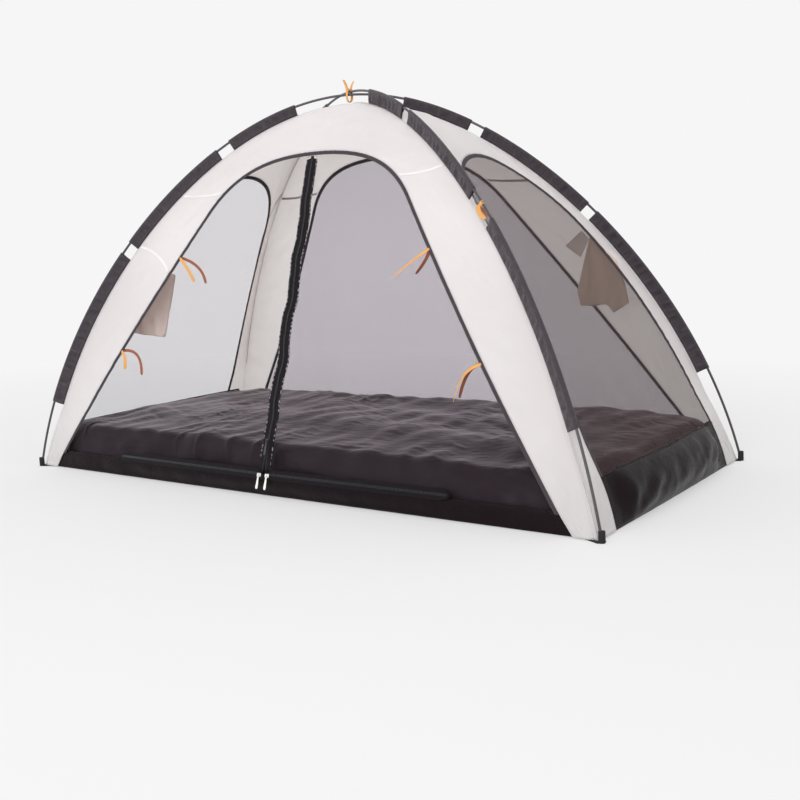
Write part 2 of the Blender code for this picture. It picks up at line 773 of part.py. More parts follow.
def zip_tapes(flaps):
    """Each flap's zip tape: teeth up the middle, the parted strand below them and the sill edge."""
    for label, flap in flaps.items():
        root = SLIT / 2 + TOOTH_DEPTH
        outer = TAPE_WIDTH + SLIT / 2
        phase = 0.0 if flap.sign < 0 else TOOTH_PITCH / 2
        points = [flap.sill(root + STRAND_PART, SLIT / 2), flap.corner(TAPE_FOLD_GAP, SLIT / 2),
                  flap.corner(TAPE_FOLD_GAP, outer), flap.sill(outer, outer)]
        if flap.fold_top(TAPE_FOLD_GAP)[0] < outer:
            points += [flap.fold_at(TAPE_FOLD_GAP, outer), flap.fold_top(TAPE_FOLD_GAP)]
        else:
            points.append((outer, flap.length))
        points.append((root, flap.length))
        points += teeth(JUNCTION_RISE + SLIDER_LENGTH / 2, flap.length - TOOTH_PITCH, phase)[::-1]
        points.append((root, JUNCTION_RISE))
        item = flat_outline("door_" + label + "_zip", points, TAPE_THICKNESS, ZIP, flap.matrix())
        hinge_parent(item, label, flap)


def sill_tape(flaps):
    """The fixed half of the sill zip, sewn to the skirt under both flaps."""
    def place(column, row):
        side = flaps["left"] if column <= 1 else flaps["right"]
        end = side.corner(-FOLD_GAP, 0.0)[0] - TAPE_FOLD_GAP
        return side.point(*side.sill(end * abs(column - 1), -SLIT / 2 - SILL_TAPE_WIDTH * (1 - row)))
    sheet("sill_zip_tape", 2, 1, place, TAPE_THICKNESS, ZIP)


def side_nets(flaps):
    """Fixed net between the binding and the fold line, on both sides of the door."""
    edge = FRONT.arch(-BINDING_WIDTH / 2 - SEW_GAP)
    count = (len(edge) + 1) // 2
    sill_share = (SIDE_SILL_HEIGHT - SIDE_NET_BOTTOM) / (edge[1][1] - edge[0][1])
    for label, flap in flaps.items():
        outline = [spot * (-flap.sign, 1) for spot in edge[:count]]
        outline.insert(1, outline[0] + (outline[1] - outline[0]) * sill_share)
        outline[-1] = np.array((flap.sign * (FLAP_TOP + FOLD_GAP), outline[-1][1]))
        marks = lengths(np.array(outline[1:]))
        foot = flap.point(*flap.corner(-FOLD_GAP, 0.0))
        def place(column, row):
            outside = FRONT.place(*outline[column])
            if column == 0:
                inside = FRONT.place(foot.x, SIDE_NET_BOTTOM)
                inside.y = max(inside.y, foot.y)
            else:
                inside = flap.point(*flap.fold(marks[column - 1] / marks[-1], -FOLD_GAP))
            return outside.lerp(inside, row / 2)
        sheet("front_" + label + "_net", len(outline) - 1, 2, place, NET_THICKNESS, NET)


def cover_point(column, row):
    """A point of the base cover: flat top, round shoulders and walls down to the hem."""
    u = 2 * column / COVER_COLUMNS - 1
    v = 2 * row / COVER_ROWS - 1
    rank = max(abs(u), abs(v))
    if rank < 1e-9:
        return Vector((0.0, 0.0, COVER_TOP + COVER_CROWN))
    a, b = u / rank, v / rank
    power = COVER_CORNER_POWER
    pull = (abs(a) ** power + abs(b) ** power) ** (-1 / power)
    a, b = a * pull, b * pull
    if rank <= COVER_TOP_SHARE:
        inset = COVER_SHOULDER
        scale = rank / COVER_TOP_SHARE
        height = COVER_TOP + COVER_CROWN * (1 - scale ** 2)
    else:
        turn = (rank - COVER_TOP_SHARE) / (1 - COVER_TOP_SHARE)
        inset, height = cover_shoulder(turn)
        scale = 1.0
    return Vector((a * (COVER_HALF_LENGTH - inset) * scale, b * (COVER_HALF_WIDTH - inset) * scale, height))


def cover_shoulder(turn):
    """Inset and height down the cover's side, turn going from the top to the hem."""
    bend = COVER_BEND_SHARE
    if turn < bend:
        angle = math.pi / 2 * turn / bend
        drop = COVER_SHOULDER_HEIGHT * (1 - math.cos(angle))
        return COVER_SHOULDER * (1 - math.sin(angle)), COVER_TOP - drop
    low = COVER_TOP - COVER_SHOULDER_HEIGHT
    share = (turn - bend) / (1 - bend)
    return 0.0, low + (BASE_LIFT - low) * share


def base_cover():
    """The fitted cover that the mattress goes under, open at the bottom."""
    sheet("base_cover", COVER_COLUMNS, COVER_ROWS, cover_point, COVER_WALL, BASE_FABRIC, offset=-1.0)


def skirt_line(height):
    """Closed line round the base at one height, just inside the walls."""
    spans = [seam_reach(height) * wall.across_share for wall in WALLS]
    def spot(index, share):
        wall, span = WALLS[index % 4], spans[index % 4]
        inset = SKIRT_INSET
        if wall is FRONT:
            inset += SKIRT_SAG * (1 - share ** 2)
        return wall.world(wall.place(share * span, height, -inset))
    line = []
    for index in range(4):
        for i in range(SKIRT_WALL_STEPS):
            angle = math.pi * (i / (SKIRT_WALL_STEPS - 1) - 0.5)
            line.append(spot(index, SKIRT_CORNER_SHARE * math.sin(angle)))
        start, end = line[-1], spot(index + 1, -SKIRT_CORNER_SHARE)
        corner = Vector((max(start.x, end.x, key=abs), max(start.y, end.y, key=abs), height))
        handles = (start.lerp(corner, SKIRT_HANDLE_SHARE), end.lerp(corner, SKIRT_HANDLE_SHARE))
        bend = bezier((start, *handles, end), SKIRT_CORNER_STEPS + 1)
        line += [Vector(point) for point in bend[1:-1]]
    return line


def skirt():
    """Nylon band round the base with the hem that lies under the cover's edge."""
    half = SKIRT_THICKNESS / 2
    tops = (SIDE_NET_BOTTOM + SKIRT_LAP, END_NET_BOTTOM + SKIRT_LAP)
    per_wall = SKIRT_WALL_STEPS + SKIRT_CORNER_STEPS - 1
    levels = {}
    def point(index, height):
        if height not in levels:
            levels[height] = skirt_line(height)
        return levels[height][index]
    rings = []
    for index in range(4 * per_wall):
        order, step = divmod(index, per_wall)
        climb = max(0, step - SKIRT_WALL_STEPS + 1) / SKIRT_CORNER_STEPS
        here, there = (tops[1], tops[0]) if order % 2 == 0 else tops
        top = there + (here - there) * climb
        shape = [point(index, height) for height in (BASE_LIFT, (BASE_LIFT + top) / 2, top)]
        along_wall = point((index + 1) % (4 * per_wall), BASE_LIFT) - point(index - 1, BASE_LIFT)
        outward = Vector((along_wall.y, -along_wall.x, 0.0)).normalized()
        inner = [spot - outward * half for spot in shape]
        edge = cover_edge(inner[0])
        lift = Vector((0.0, 0.0, HEM_THICKNESS))
        rings.append([spot + outward * half for spot in shape] + [inner[2], inner[1], inner[0] + lift,
                                                                  edge + lift, edge])
    loft("base_skirt", rings, BASE_FABRIC, closed=True, turned=(3, 4))


def cover_edge(outside):
    """The point just clear of the cover's wall, towards a point outside it."""
    power = HEM_CORNER_POWER
    clear = 2 * SEW_GAP
    a = abs(outside.x) / (COVER_HALF_LENGTH + clear)
    b = abs(outside.y) / (COVER_HALF_WIDTH + clear)
    pull = (a ** power + b ** power) ** (-1 / power)
    return Vector((outside.x * pull, outside.y * pull, outside.z))


def foot_pockets():
    """Cups on webbing tabs at the four corners, which hold the ends of the poles."""
    lean = math.pi / 2 - POLE_FOOT_ANGLE
    diagonal_angle = math.atan2(BASE_HALF_WIDTH, BASE_HALF_LENGTH)
    corners = (("front_right", -diagonal_angle), ("back_right", diagonal_angle),
               ("back_left", math.pi - diagonal_angle), ("front_left", math.pi + diagonal_angle))
    for label, angle in corners:
        bm = bmesh.new()
        bmesh.ops.create_cone(bm, cap_ends=True, segments=16, radius1=FOOT_RADIUS, radius2=FOOT_RADIUS,
                              depth=FOOT_HEIGHT)
        bmesh.ops.translate(bm, verts=bm.verts, vec=(DIAGONAL, 0.0, FOOT_HEIGHT / 2))
        cup = object_from("foot_pocket_" + label, bm, WEBBING)
        bm = bmesh.new()
        bmesh.ops.create_cube(bm, size=1.0)
        bmesh.ops.scale(bm, vec=(FOOT_TAB_LENGTH, FOOT_TAB_WIDTH, FOOT_TAB_THICKNESS), verts=bm.verts)
        bmesh.ops.translate(bm, verts=bm.verts, vec=(DIAGONAL - FOOT_TAB_LENGTH / 2, 0.0,
                                                    FOOT_TAB_THICKNESS / 2))
        tab = cutter_from("foot_tab_" + label, bm)
        bm = bmesh.new()
        depth = FOOT_HEIGHT + BORE_OVERRUN - FOOT_FLOOR
        bmesh.ops.create_cone(bm, cap_ends=True, segments=16, radius1=FOOT_BORE_RADIUS,
                              radius2=FOOT_BORE_RADIUS, depth=depth)
        bmesh.ops.translate(bm, verts=bm.verts, vec=(0.0, 0.0, depth / 2 + FOOT_FLOOR - POLE_TIP_HEIGHT))
        bmesh.ops.rotate(bm, verts=bm.verts, cent=(0.0, 0.0, 0.0), matrix=Matrix.Rotation(-lean, 3, "Y"))
        bmesh.ops.translate(bm, verts=bm.verts, vec=(DIAGONAL, 0.0, POLE_TIP_HEIGHT))
        bore = cutter_from("foot_bore_" + label, bm)
        for tool, operation in ((tab, "UNION"), (bore, "DIFFERENCE")):
            tool.rotation_euler.z = angle
            cut = cup.modifiers.new(operation.lower(), "BOOLEAN")
            cut.operation = operation
            cut.object = tool
            cut.solver = "EXACT"
        cup.rotation_euler.z = angle


def cutter_from(name, bm):
    """A hidden tool for a Boolean."""
    mesh = bpy.data.meshes.new(name)
    bmesh.ops.recalc_face_normals(bm, faces=bm.faces)
    bm.to_mesh(mesh)
    bm.free()
    item = bpy.data.objects.new(name, mesh)
    item.hide_render = True
    item.display_type = "WIRE"
    CUTTERS.objects.link(item)
    return item


def box_mesh(bm, size, centre):
    """A box in a bmesh."""
    made = bmesh.ops.create_cube(bm, size=1.0)["verts"]
    bmesh.ops.scale(bm, vec=size, verts=made)
    bmesh.ops.translate(bm, verts=made, vec=centre)


def slider(name, frame, width, length, neck, finish):
    """A slider on one row of teeth: two plates joined past the row's edge, and a crown for the pull."""
    offset = TAPE_THICKNESS / 2 + SLIDER_GAP + SLIDER_PLATE / 2
    bm = bmesh.new()
    box_mesh(bm, (width, length, SLIDER_PLATE), (0.0, 0.0, offset))
    body = object_from(name, bm, finish, smooth=False)
    parts = []
    bm = bmesh.new()
    box_mesh(bm, (width, length, SLIDER_PLATE), (0.0, 0.0, -offset))
    parts.append(cutter_from(name + "_back_plate", bm))
    bm = bmesh.new()
    box_mesh(bm, (*neck[0], 2 * offset), (*neck[1], 0.0))
    parts.append(cutter_from(name + "_neck", bm))
    parts.append(crown_tool(name, offset))
    for part in parts:
        part.matrix_world = frame
        join = body.modifiers.new("join", "BOOLEAN")
        join.operation = "UNION"
        join.object = part
        join.solver = "EXACT"
    body.matrix_world = frame
    return body


def crown_tool(name, base):
    """The wire arch on a slider's outer plate, standing in the plane that its pull swings in."""
    curve = bpy.data.curves.new(name + "_crown", "CURVE")
    curve.dimensions = "3D"
    curve.bevel_depth = CROWN_WIRE
    curve.bevel_resolution = 1
    curve.use_fill_caps = True
    steps = 8
    centre = base + SLIDER_PLATE / 2 + CROWN_RISE
    points = [(-CROWN_RADIUS, base)]
    for i in range(steps + 1):
        angle = math.pi * i / steps
        points.append((-CROWN_RADIUS * math.cos(angle), centre + CROWN_RADIUS * math.sin(angle)))
    points.append((CROWN_RADIUS, base))
    spline = curve.splines.new("POLY")
    spline.points.add(len(points) - 1)
    for spot, (y, z) in zip(spline.points, points):
        spot.co = (0.0, y, z, 1.0)
    drawn = bpy.data.objects.new(name + "_crown_curve", curve)
    CUTTERS.objects.link(drawn)
    bpy.context.view_layer.update()
    mesh = bpy.data.meshes.new_from_object(drawn.evaluated_get(bpy.context.evaluated_depsgraph_get()))
    bpy.data.objects.remove(drawn)
    bm = bmesh.new()
    bm.from_mesh(mesh)
    bmesh.ops.remove_doubles(bm, verts=bm.verts, dist=1e-6)
    return cutter_from(name + "_crown", bm)


def pull(name, frame, finish):
    """A pull tab through the crown. Its origin is the line that it swings about."""
    head = PULL_NARROW / 2
    points = [(head, 0.0), (head / 2, PULL_HEAD_RISE), (-head / 2, PULL_HEAD_RISE), (-head, 0.0),
              (-head, -2 * CROWN_RADIUS), (-PULL_WIDTH / 2, PULL_WIDTH / 2 - PULL_LENGTH),
              (-PULL_WIDTH / 4, -PULL_LENGTH), (PULL_WIDTH / 4, -PULL_LENGTH),
              (PULL_WIDTH / 2, PULL_WIDTH / 2 - PULL_LENGTH), (head, -2 * CROWN_RADIUS)]
    item = flat_outline(name, points, PULL_THICKNESS, finish, frame)
    bm = bmesh.new()
    bmesh.ops.create_cone(bm, cap_ends=True, segments=10, radius1=PULL_EYE_RADIUS,
                          radius2=PULL_EYE_RADIUS, depth=PULL_THICKNESS + BORE_OVERRUN)
    bmesh.ops.translate(bm, verts=bm.verts, vec=(0.0, -CROWN_RADIUS, 0.0))
    hole = cutter_from(name + "_eye", bm)
    hole.matrix_world = frame
    cut = item.modifiers.new("eye", "BOOLEAN")
    cut.operation = "DIFFERENCE"
    cut.object = hole
    cut.solver = "EXACT"
    return item


def slider_frame(origin, up, outward):
    """Frame with y up the net and z outwards."""
    y = up.normalized()
    z = (outward - y * outward.dot(y)).normalized()
    made = Matrix((y.cross(z), y, z)).transposed().to_4x4()
    made.translation = origin
    return made


def sliders(flaps):
    """The dark slider on the upright zip and two bright ones on the sill, each with its pull."""
    pivot = TAPE_THICKNESS / 2 + SLIDER_GAP + SLIDER_PLATE + CROWN_RISE
    left, right = flaps["left"], flaps["right"]
    shift = (SLIDER_WIDTH - NECK_WIDTH) / 2
    rest = left.point(shift, JUNCTION_RISE + SLIDER_LENGTH / 2)
    frame = slider_frame(rest, left.up, left.normal)
    neck = ((NECK_WIDTH, NECK_LENGTH), (shift, 0.0))
    slider("door_slider", frame, SLIDER_WIDTH, SLIDER_LENGTH, neck, BLACK_METAL)
    pull("door_pull", frame @ Matrix.Translation((0.0, 0.0, pivot)), BLACK_METAL)
    neck = ((NECK_LENGTH, NECK_WIDTH), (0.0, shift))
    for label, flap in flaps.items():
        travel = (flap.foot - flap.bottom).normalized()
        up = (flap.up - travel * flap.up.dot(travel)).normalized()
        centre = flap.bottom + travel * SILL_SLIDER_OFFSET - up * shift
        frame = slider_frame(centre, up, flap.normal)
        slider("sill_slider_" + label, frame, SLIDER_LENGTH, SLIDER_WIDTH, neck, BRIGHT_METAL)
        pull("sill_pull_" + label, frame @ Matrix.Translation((0.0, 0.0, pivot)), BRIGHT_METAL)


def ribbon(name, stations, width, finish):
    """A flat ribbon through stations of (point, across direction, face normal)."""
    rings = []
    for point, across, normal in stations:
        half, thick = across * width / 2, normal * RIBBON_THICKNESS / 2
        rings.append([point - half - thick, point + half - thick, point + half + thick, point - half + thick])
    return loft(name, rings, finish)


def binding_spot(wall, side, height):
    """Point on the middle of a binding, and the directions up it and into the window."""
    edge = wall.arch(0.0)
    half = edge[:(len(edge) + 1) // 2]
    column = int(np.searchsorted(half[:, 1], height)) - 1
    share = (height - half[column][1]) / (half[column + 1][1] - half[column][1])
    ends = [wall.place(*(half[i] * (-side, 1))) for i in (column, column + 1)]
    spot = ends[0].lerp(ends[1], share)
    inner = wall.place(spot.x - side * BINDING_WIDTH, spot.z)
    return spot, (ends[1] - ends[0]).normalized(), (inner - spot).normalized()


def door_ribbons():
    """Ribbons that tie a rolled flap to the binding: one outside and one inside at four places."""
    clear = BINDING_THICKNESS / 2 + RIBBON_CLEARANCE + RIBBON_THICKNESS / 2
    for label, (side, height, inward, fall) in RIBBON_PLACES.items():
        start, rise, _ = binding_spot(FRONT, side, height)
        flow = Vector((-side * inward, 0.0, -fall)) * RIBBON_LENGTH
        flow = (FRONT.place(start.x + flow.x, start.z + flow.z) - start).normalized()
        normal = flow.cross(rise).normalized()
        normal = normal if normal.y < 0 else -normal
        for face, step, lift_end in (("outer", 1, RIBBON_OUTER_LIFT), ("inner", -1, RIBBON_INNER_LIFT)):
            stations = []
            for i in range(RIBBON_STEPS + 1):
                share = i / RIBBON_STEPS
                lift = step * (clear + lift_end * share ** 2)
                here = start + flow * RIBBON_LENGTH * share + normal * lift
                stations.append((here, flow.cross(normal), normal))
            finish = RIBBON if face == "outer" else RIBBON_INNER
            ribbon("tie_" + label + "_" + face, stations, RIBBON_WIDTH, finish)


def crown_tie():
    """Ribbon from the canopy's top up past the crossing of the poles, with two tails."""
    low = APEX_HEIGHT + CANOPY_THICKNESS + RIBBON_CLEARANCE
    top = CROWN_HEIGHT + POLE_RADIUS + 3 * RIBBON_CLEARANCE
    spread = TIE_HALF_SPREAD
    path = [(-spread - TIE_TAIL_LEAN, top + TIE_TAIL_RISE), (-spread, top), (-spread, low + spread / 2),
            (-spread / 2, low), (spread / 2, low), (spread, low + spread / 2), (spread, top),
            (spread + TIE_TAIL_LEAN, top + TIE_TAIL_RISE)]
    stations = []
    for i, (y, z) in enumerate(path):
        before, after = path[max(i - 1, 0)], path[min(i + 1, len(path) - 1)]
        flow = Vector((0.0, after[0] - before[0], after[1] - before[1])).normalized()
        across = Vector((1.0, 0.0, 0.0))
        stations.append((Vector((0.0, y, z)), across, flow.cross(across)))
    ribbon("crown_tie", stations, RIBBON_WIDTH, RIBBON)


def pole_tie():
    """Short ribbon tied round the front right pole, in the gap between two of its sleeves."""
    axis = pole_axis(-1, CROWN_HEIGHT)
    leg = axis[:POLE_SEGMENTS + 1]
    spans = SLEEVE_SPAN_SHARES["b_front"]
    reach = DIAGONAL * (spans[1][1] + spans[2][0]) / 2
    reaches = [math.hypot(point[0], point[1]) for point in leg]
    spot = Vector([np.interp(-reach, [-value for value in reaches], column) for column in leg.T])
    nearest = min(range(1, POLE_SEGMENTS), key=lambda i: abs(reaches[i] - reach))
    tangent = Vector(leg[nearest + 1] - leg[nearest - 1]).normalized()
    side = Vector((ALONG_Y, ALONG_X, 0.0))
    inward = tangent.cross(side).normalized()
    inward = inward if inward.z < 0 else -inward
    from_crown = np.interp(-reach, [-value for value in reaches], lengths(leg)[-1] - lengths(leg))
    ferrules = [JOINT_SPACING * (number + 1 / 2) for number in range(3)]
    is_on_ferrule = any(abs(from_crown - middle) < FERRULE_LENGTH / 2 + RIBBON_WIDTH for middle in ferrules)
    radius = FERRULE_RADIUS if is_on_ferrule else POLE_RADIUS
    round_pole = radius + RIBBON_CLEARANCE + RIBBON_THICKNESS / 2
    clear_pole = round_pole / math.cos(math.pi / (2 * TIE_WRAP_STEPS))
    path = [inward * TIE_TAIL_RISE * TIE_START_SHARE - side * round_pole]
    for i in range(TIE_WRAP_STEPS + 1):
        angle = math.pi * i / TIE_WRAP_STEPS
        path.append((-inward * math.sin(angle) - side * math.cos(angle)) * clear_pole)
    leaving = inward * TIE_TAIL_RISE * TIE_END_SHARE
    path.append(leaving + side * round_pole * TIE_BEND_RADII)
    path.append(leaving + side * round_pole * TIE_END_RADII + Vector((0.0, 0.0, -TIE_TAIL_RISE)))
    path = path[::-1]
    stations = []
    for i, step in enumerate(path):
        flow = (path[min(i + 1, len(path) - 1)] - path[max(i - 1, 0)]).normalized()
        across = (tangent - flow * tangent.dot(flow)).normalized()
        stations.append((spot + step, across, flow.cross(across)))
    ribbon("pole_tie", stations, RIBBON_WIDTH, RIBBON)


def leg_pockets():
    """Cloth pockets that hang inside the end walls, by the back right and the front left legs."""
    for label, wall, top_height in (("right", RIGHT, POCKET_RIGHT_TOP), ("left", LEFT, POCKET_LEFT_TOP)):
        first, rise, inward = binding_spot(wall, 1, top_height)
        last = binding_spot(wall, 1, top_height - POCKET_TOP_DROP)[0]
        normal = rise.cross(inward).normalized()
        normal = normal if normal.y > 0 else -normal
        level = Vector((last.x - first.x, last.y - first.y, 0.0))
        lean = abs(level.normalized().cross(Vector((0.0, 0.0, 1.0))).dot(normal))
        step = normal * (BINDING_THICKNESS / 2 + POCKET_CLEARANCE + POCKET_THICKNESS / 2 * lean)
        first, last = first + step, last + step
        widening = POCKET_WIDTH - level.length
        level.normalize()
        def place(column, row):
            share, fall = column / POCKET_STEPS, row / POCKET_STEPS
            point = first.lerp(last, share) + level * (share - 1 / 2) * widening * fall
            point.z += (first.z - POCKET_DROP - point.z) * fall
            return point
        item = sheet("pocket_" + label, POCKET_STEPS, POCKET_STEPS, place, POCKET_THICKNESS, POCKET)
        item.rotation_euler.z = wall.turn


clear_scene()
TENT = new_collection("mosquito_net_tent")
CUTTERS = new_collection("cutters")
FIBREGLASS = material("fibreglass", (0.03, 0.03, 0.035), 0.35)
SLEEVE = material("sleeve_nylon", (0.055, 0.045, 0.055), 0.55)
CANOPY = material("canopy_polyester", (0.84, 0.80, 0.79), 0.75)
BINDING = material("binding_tape", (0.05, 0.045, 0.05), 0.7)
NET = material("net", (0.66, 0.63, 0.70), 0.8, alpha=0.5)
ZIP = material("zip_black", (0.02, 0.018, 0.022), 0.45)
BLACK_METAL = material("black_metal", (0.03, 0.03, 0.03), 0.35, metallic=0.6)
BRIGHT_METAL = material("bright_metal", (0.75, 0.74, 0.72), 0.25, metallic=1.0)
BASE_FABRIC = material("base_nylon", (0.06, 0.045, 0.055), 0.5)
WEBBING = material("webbing", (0.03, 0.03, 0.03), 0.8)
RIBBON = material("orange_ribbon", (0.85, 0.42, 0.07), 0.5)
RIBBON_INNER = material("orange_ribbon_inner", (0.75, 0.36, 0.06), 0.5)
POCKET = material("pocket_cloth", (0.32, 0.28, 0.24), 0.8)

FLAPS = {"left": Flap(-1), "right": Flap(1)}
poles()
sleeves()
panels()
bindings()
fixed_nets()
side_nets(FLAPS)
door_nets(FLAPS)
zip_tapes(FLAPS)
sill_tape(FLAPS)
base_cover()
skirt()
foot_pockets()
sliders(FLAPS)
door_ribbons()
crown_tie()
pole_tie()
leg_pockets()
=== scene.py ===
"""Looks of the mosquito net tent for a single bed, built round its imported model. Metres, +Z up, door
side towards -Y, origin on the floor under the crossing of the poles."""

import math

import bmesh
import bpy
import numpy as np
from mathutils import Matrix, Vector


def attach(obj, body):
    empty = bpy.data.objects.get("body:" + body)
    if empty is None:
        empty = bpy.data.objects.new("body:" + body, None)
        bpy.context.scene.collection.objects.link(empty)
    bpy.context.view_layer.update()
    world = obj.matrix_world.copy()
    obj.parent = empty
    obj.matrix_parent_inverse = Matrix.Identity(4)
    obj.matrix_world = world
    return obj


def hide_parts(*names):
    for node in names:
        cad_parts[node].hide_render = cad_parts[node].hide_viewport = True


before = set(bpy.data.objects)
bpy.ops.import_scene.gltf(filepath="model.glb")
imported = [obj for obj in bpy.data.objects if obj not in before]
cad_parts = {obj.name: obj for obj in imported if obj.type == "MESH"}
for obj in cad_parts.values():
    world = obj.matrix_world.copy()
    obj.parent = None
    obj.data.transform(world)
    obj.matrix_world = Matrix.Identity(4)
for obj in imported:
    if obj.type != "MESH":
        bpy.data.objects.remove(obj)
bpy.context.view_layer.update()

# Sizes of the real tent, the same as in the model
BASE_HALF_LENGTH = 0.99
BASE_HALF_WIDTH = 0.445
CROWN_HEIGHT = 1.102
POLE_RADIUS = 0.0035
POLE_CROWN_HANDLE = 0.429
POLE_FOOT_HANDLE = 0.597
POLE_FOOT_ANGLE = math.radians(77.5)
POLE_SEGMENTS = 20
POLE_GAP = 0.0004
POLE_TIP_HEIGHT = 0.0032
FERRULE_RADIUS = 0.0047
FERRULE_LENGTH = 0.060
JOINT_SPACING = 0.470
SEAM_DROP = 0.033
FOOT_SEAM_DROP = 0.0105
SEAM_TAPER_HEIGHT = 0.210
SEAM_MARGIN = 0.0012
SLEEVE_RADIUS = 0.0060
SLEEVE_FLAT = 0.0011
# The gap on the front right leg is the wide one
SLEEVE_SPAN_SHARES = {
    "a_front": ((0.154, 0.348), (0.386, 0.664), (0.690, 0.942)),
    "a_back": ((0.150, 0.328), (0.362, 0.625), (0.646, 0.920)),
    "b_front": ((0.117, 0.290), (0.318, 0.590), (0.655, 0.930)),
    "b_back": ((0.140, 0.322), (0.355, 0.626), (0.652, 0.931)),
}
BINDING_WIDTH = 0.010
CANOPY_THICKNESS = 0.0007
NET_THICKNESS = 0.0005
SIDE_TOP_REACH = 0.176
SIDE_SILL_REACH = 0.4548
SIDE_HEM_REACH = 0.447
SIDE_SILL_HEIGHT = 0.0646
SIDE_NET_BOTTOM = 0.048
SIDE_WINDOW_TOP = 0.920
END_TOP_REACH = 0.435
END_SILL_REACH = 0.955
END_HEM_REACH = 0.985
END_NET_BOTTOM = 0.120
END_WINDOW_TOP = 0.885
CANOPY_TOP_HANDLE = 0.090
CANOPY_WALL_HANDLE = 0.060
SIDE_FOOT_SHARE = 0.887
SIDE_SHOULDER_SHARES = (0.364, 0.708)
SIDE_CORNER_SHARES = ((0.283, 0.808), (0.162, 0.835))
END_FOOT_SHARE = 0.775
END_LEG_SHARES = ((0.753, 0.309), (0.652, 0.499))
END_SHOULDER_SHARES = (0.528, 0.635)
END_CORNER_SHARES = ((0.427, 0.744), (0.225, 0.803))
FLAP_FOOT = 0.600
FLAP_TOP = 0.0150
TAPE_WIDTH = 0.0125
TAPE_THICKNESS = 0.0012
SLIT = 0.0010
JUNCTION_RISE = 0.080
STRAND_PART = 0.0045
SILL_TAPE_WIDTH = 0.0150
COVER_TOP = 0.135
COVER_SHOULDER = 0.060
COVER_SHOULDER_HEIGHT = 0.090
COVER_HALF_LENGTH = 0.960
COVER_HALF_WIDTH = 0.434
COVER_CORNER_POWER = 10
COVER_CROWN = 0.006
COVER_TOP_SHARE = 0.72
BASE_LIFT = 0.0024
SKIRT_INSET = 0.0028
SKIRT_SAG = 0.0031
SKIRT_LAP = 0.008
SKIRT_CORNER_SHARE = 0.93
SKIRT_HANDLE_SHARE = 0.55
RIBBON_WIDTH = 0.010

# Sizes of what is drawn only here
ZIP_WIDTH = 0.0195
SILL_WIDTH = 0.0125
SILL_ROUNDING = 0.030
ZIP_TAPE_START = 0.004
ZIP_NARROWING = 0.05
ZIP_SCALLOP = (0.0007, 0.0116)
ZIP_TEETH_START = 0.007
ZIP_TEETH_END = 0.004
FOLD_GAP = 0.0014
DOOR_NET_INSET = 0.0005
SIDE_NET_INSET = -0.0004
NET_TUCK = 0.001
NET_PITCH = 0.0014
NET_RELIEF = 0.0001
NET_COVER_SPAN = (1.33, 0.34)
GLOW_DEPTH = 0.012
GLOW_SPREAD = (1.0, 0.9, 0.85)
STITCH_SHARE = 0.68
STITCH_HEIGHT = 0.0004
TOOTH_SIZE = (0.0034, 0.0016, 0.0021)
TOOTH_BEVEL = 0.00035
TOOTH_PITCH = 0.0026
TOOTH_REACH = 0.0012
SILL_TOOTH_DROP = 0.0022
SILL_TAPE_START = 0.001
SILL_TAPE_END = 0.002
SILL_TEETH_START = 0.009
SILL_TEETH_END = 0.012
FLOW_REACH = 0.004
ROD_STEP = 0.022
ROD_ROUNDING = 0.0008
FERRULE_TAPER = 0.004
FERRULE_LIP = ((0.0004, 1.06), (0.0026, 1.0), (0.0004, 0.95), (0.0006, 0.80))
SLEEVE_STEP = 0.0045
SLEEVE_END_REACH = 0.03
SLEEVE_THICKNESS = 0.0005
SECTION_RUN = 0.02
BINDING_BODY = 0.0005
BINDING_CROWN = 0.0007
STRIP_WIDTH = 0.0095
STRIP_LIFT = 0.0008
STRIP_THICKNESS = 0.0004
SEAM_PUCKER_REACH = 0.012
EDGE_PUCKER_REACH = 0.010
GATHER_TOP = 0.15
GATHER_FADE = 0.10
GATHER_SWELL = 0.0008
SKIRT_CLEARANCE = 0.17
SKIRT_CLEARANCE_FADE = 0.03
SKIRT_CLEARANCE_SINK = 0.0003
SKIRT_THICKNESS = 0.0007
SKIRT_RELIEF = (-0.003, 0.0014)
SKIRT_SINK = 0.0004
SKIRT_RISE = 0.03
SKIRT_FADE_SHARES = (0.08, 0.92)
ROLL_REACH = 0.325
ROLL_DEPTH = 0.024
ROLL_FADE = 0.07
COVER_THICKNESS = 0.0010
COVER_SIDE_RUN = 1.4
COVER_BEND_SHARE = 0.75
COVER_TOP_START = 0.10
COVER_FADE = 0.03
COVER_SIDE_SINK = 0.0040
COVER_RELIEF = (-0.016, 0.0090)
COVER_SIDE_RELIEF = 0.0006
COVER_TOP_RELIEF = 0.009
HEM_CLEARANCE = 0.0010
HEM_CORNER_POWER = 14
HEM_STEP = 0.0008
RIBBON_THICKNESS = 0.0006
RIBBON_LIFT = 0.0016
RIBBON_TAPER = 0.008
CROWN_TIE_SPREAD = 0.0125
CROWN_TIE_LIFT = 0.0012
CROWN_TIE_TAIL = (0.011, 0.029)
CROWN_KNOT_RADIUS = 0.0055
POLE_TIE_LIFT = 0.0009
POLE_TIE_REACH = 0.014
POLE_TIE_SHARE = 0.622
POCKET_TOP_DROP = 0.095
POCKET_TOP_WIDTH = 0.065
POCKET_STANDOFF = 0.0045
POCKET_WRAP = 0.45
POCKET_BODY = 0.0012
POCKET_FRONT_BELLY = 0.006
POCKET_BACK_BELLY = 0.001
POCKET_THICKNESS = 0.0006
POCKET_FLAP_THICKNESS = 0.0008
POCKET_FLAP_INSET = 0.0016
POCKET_FLAP_BOW = 0.003

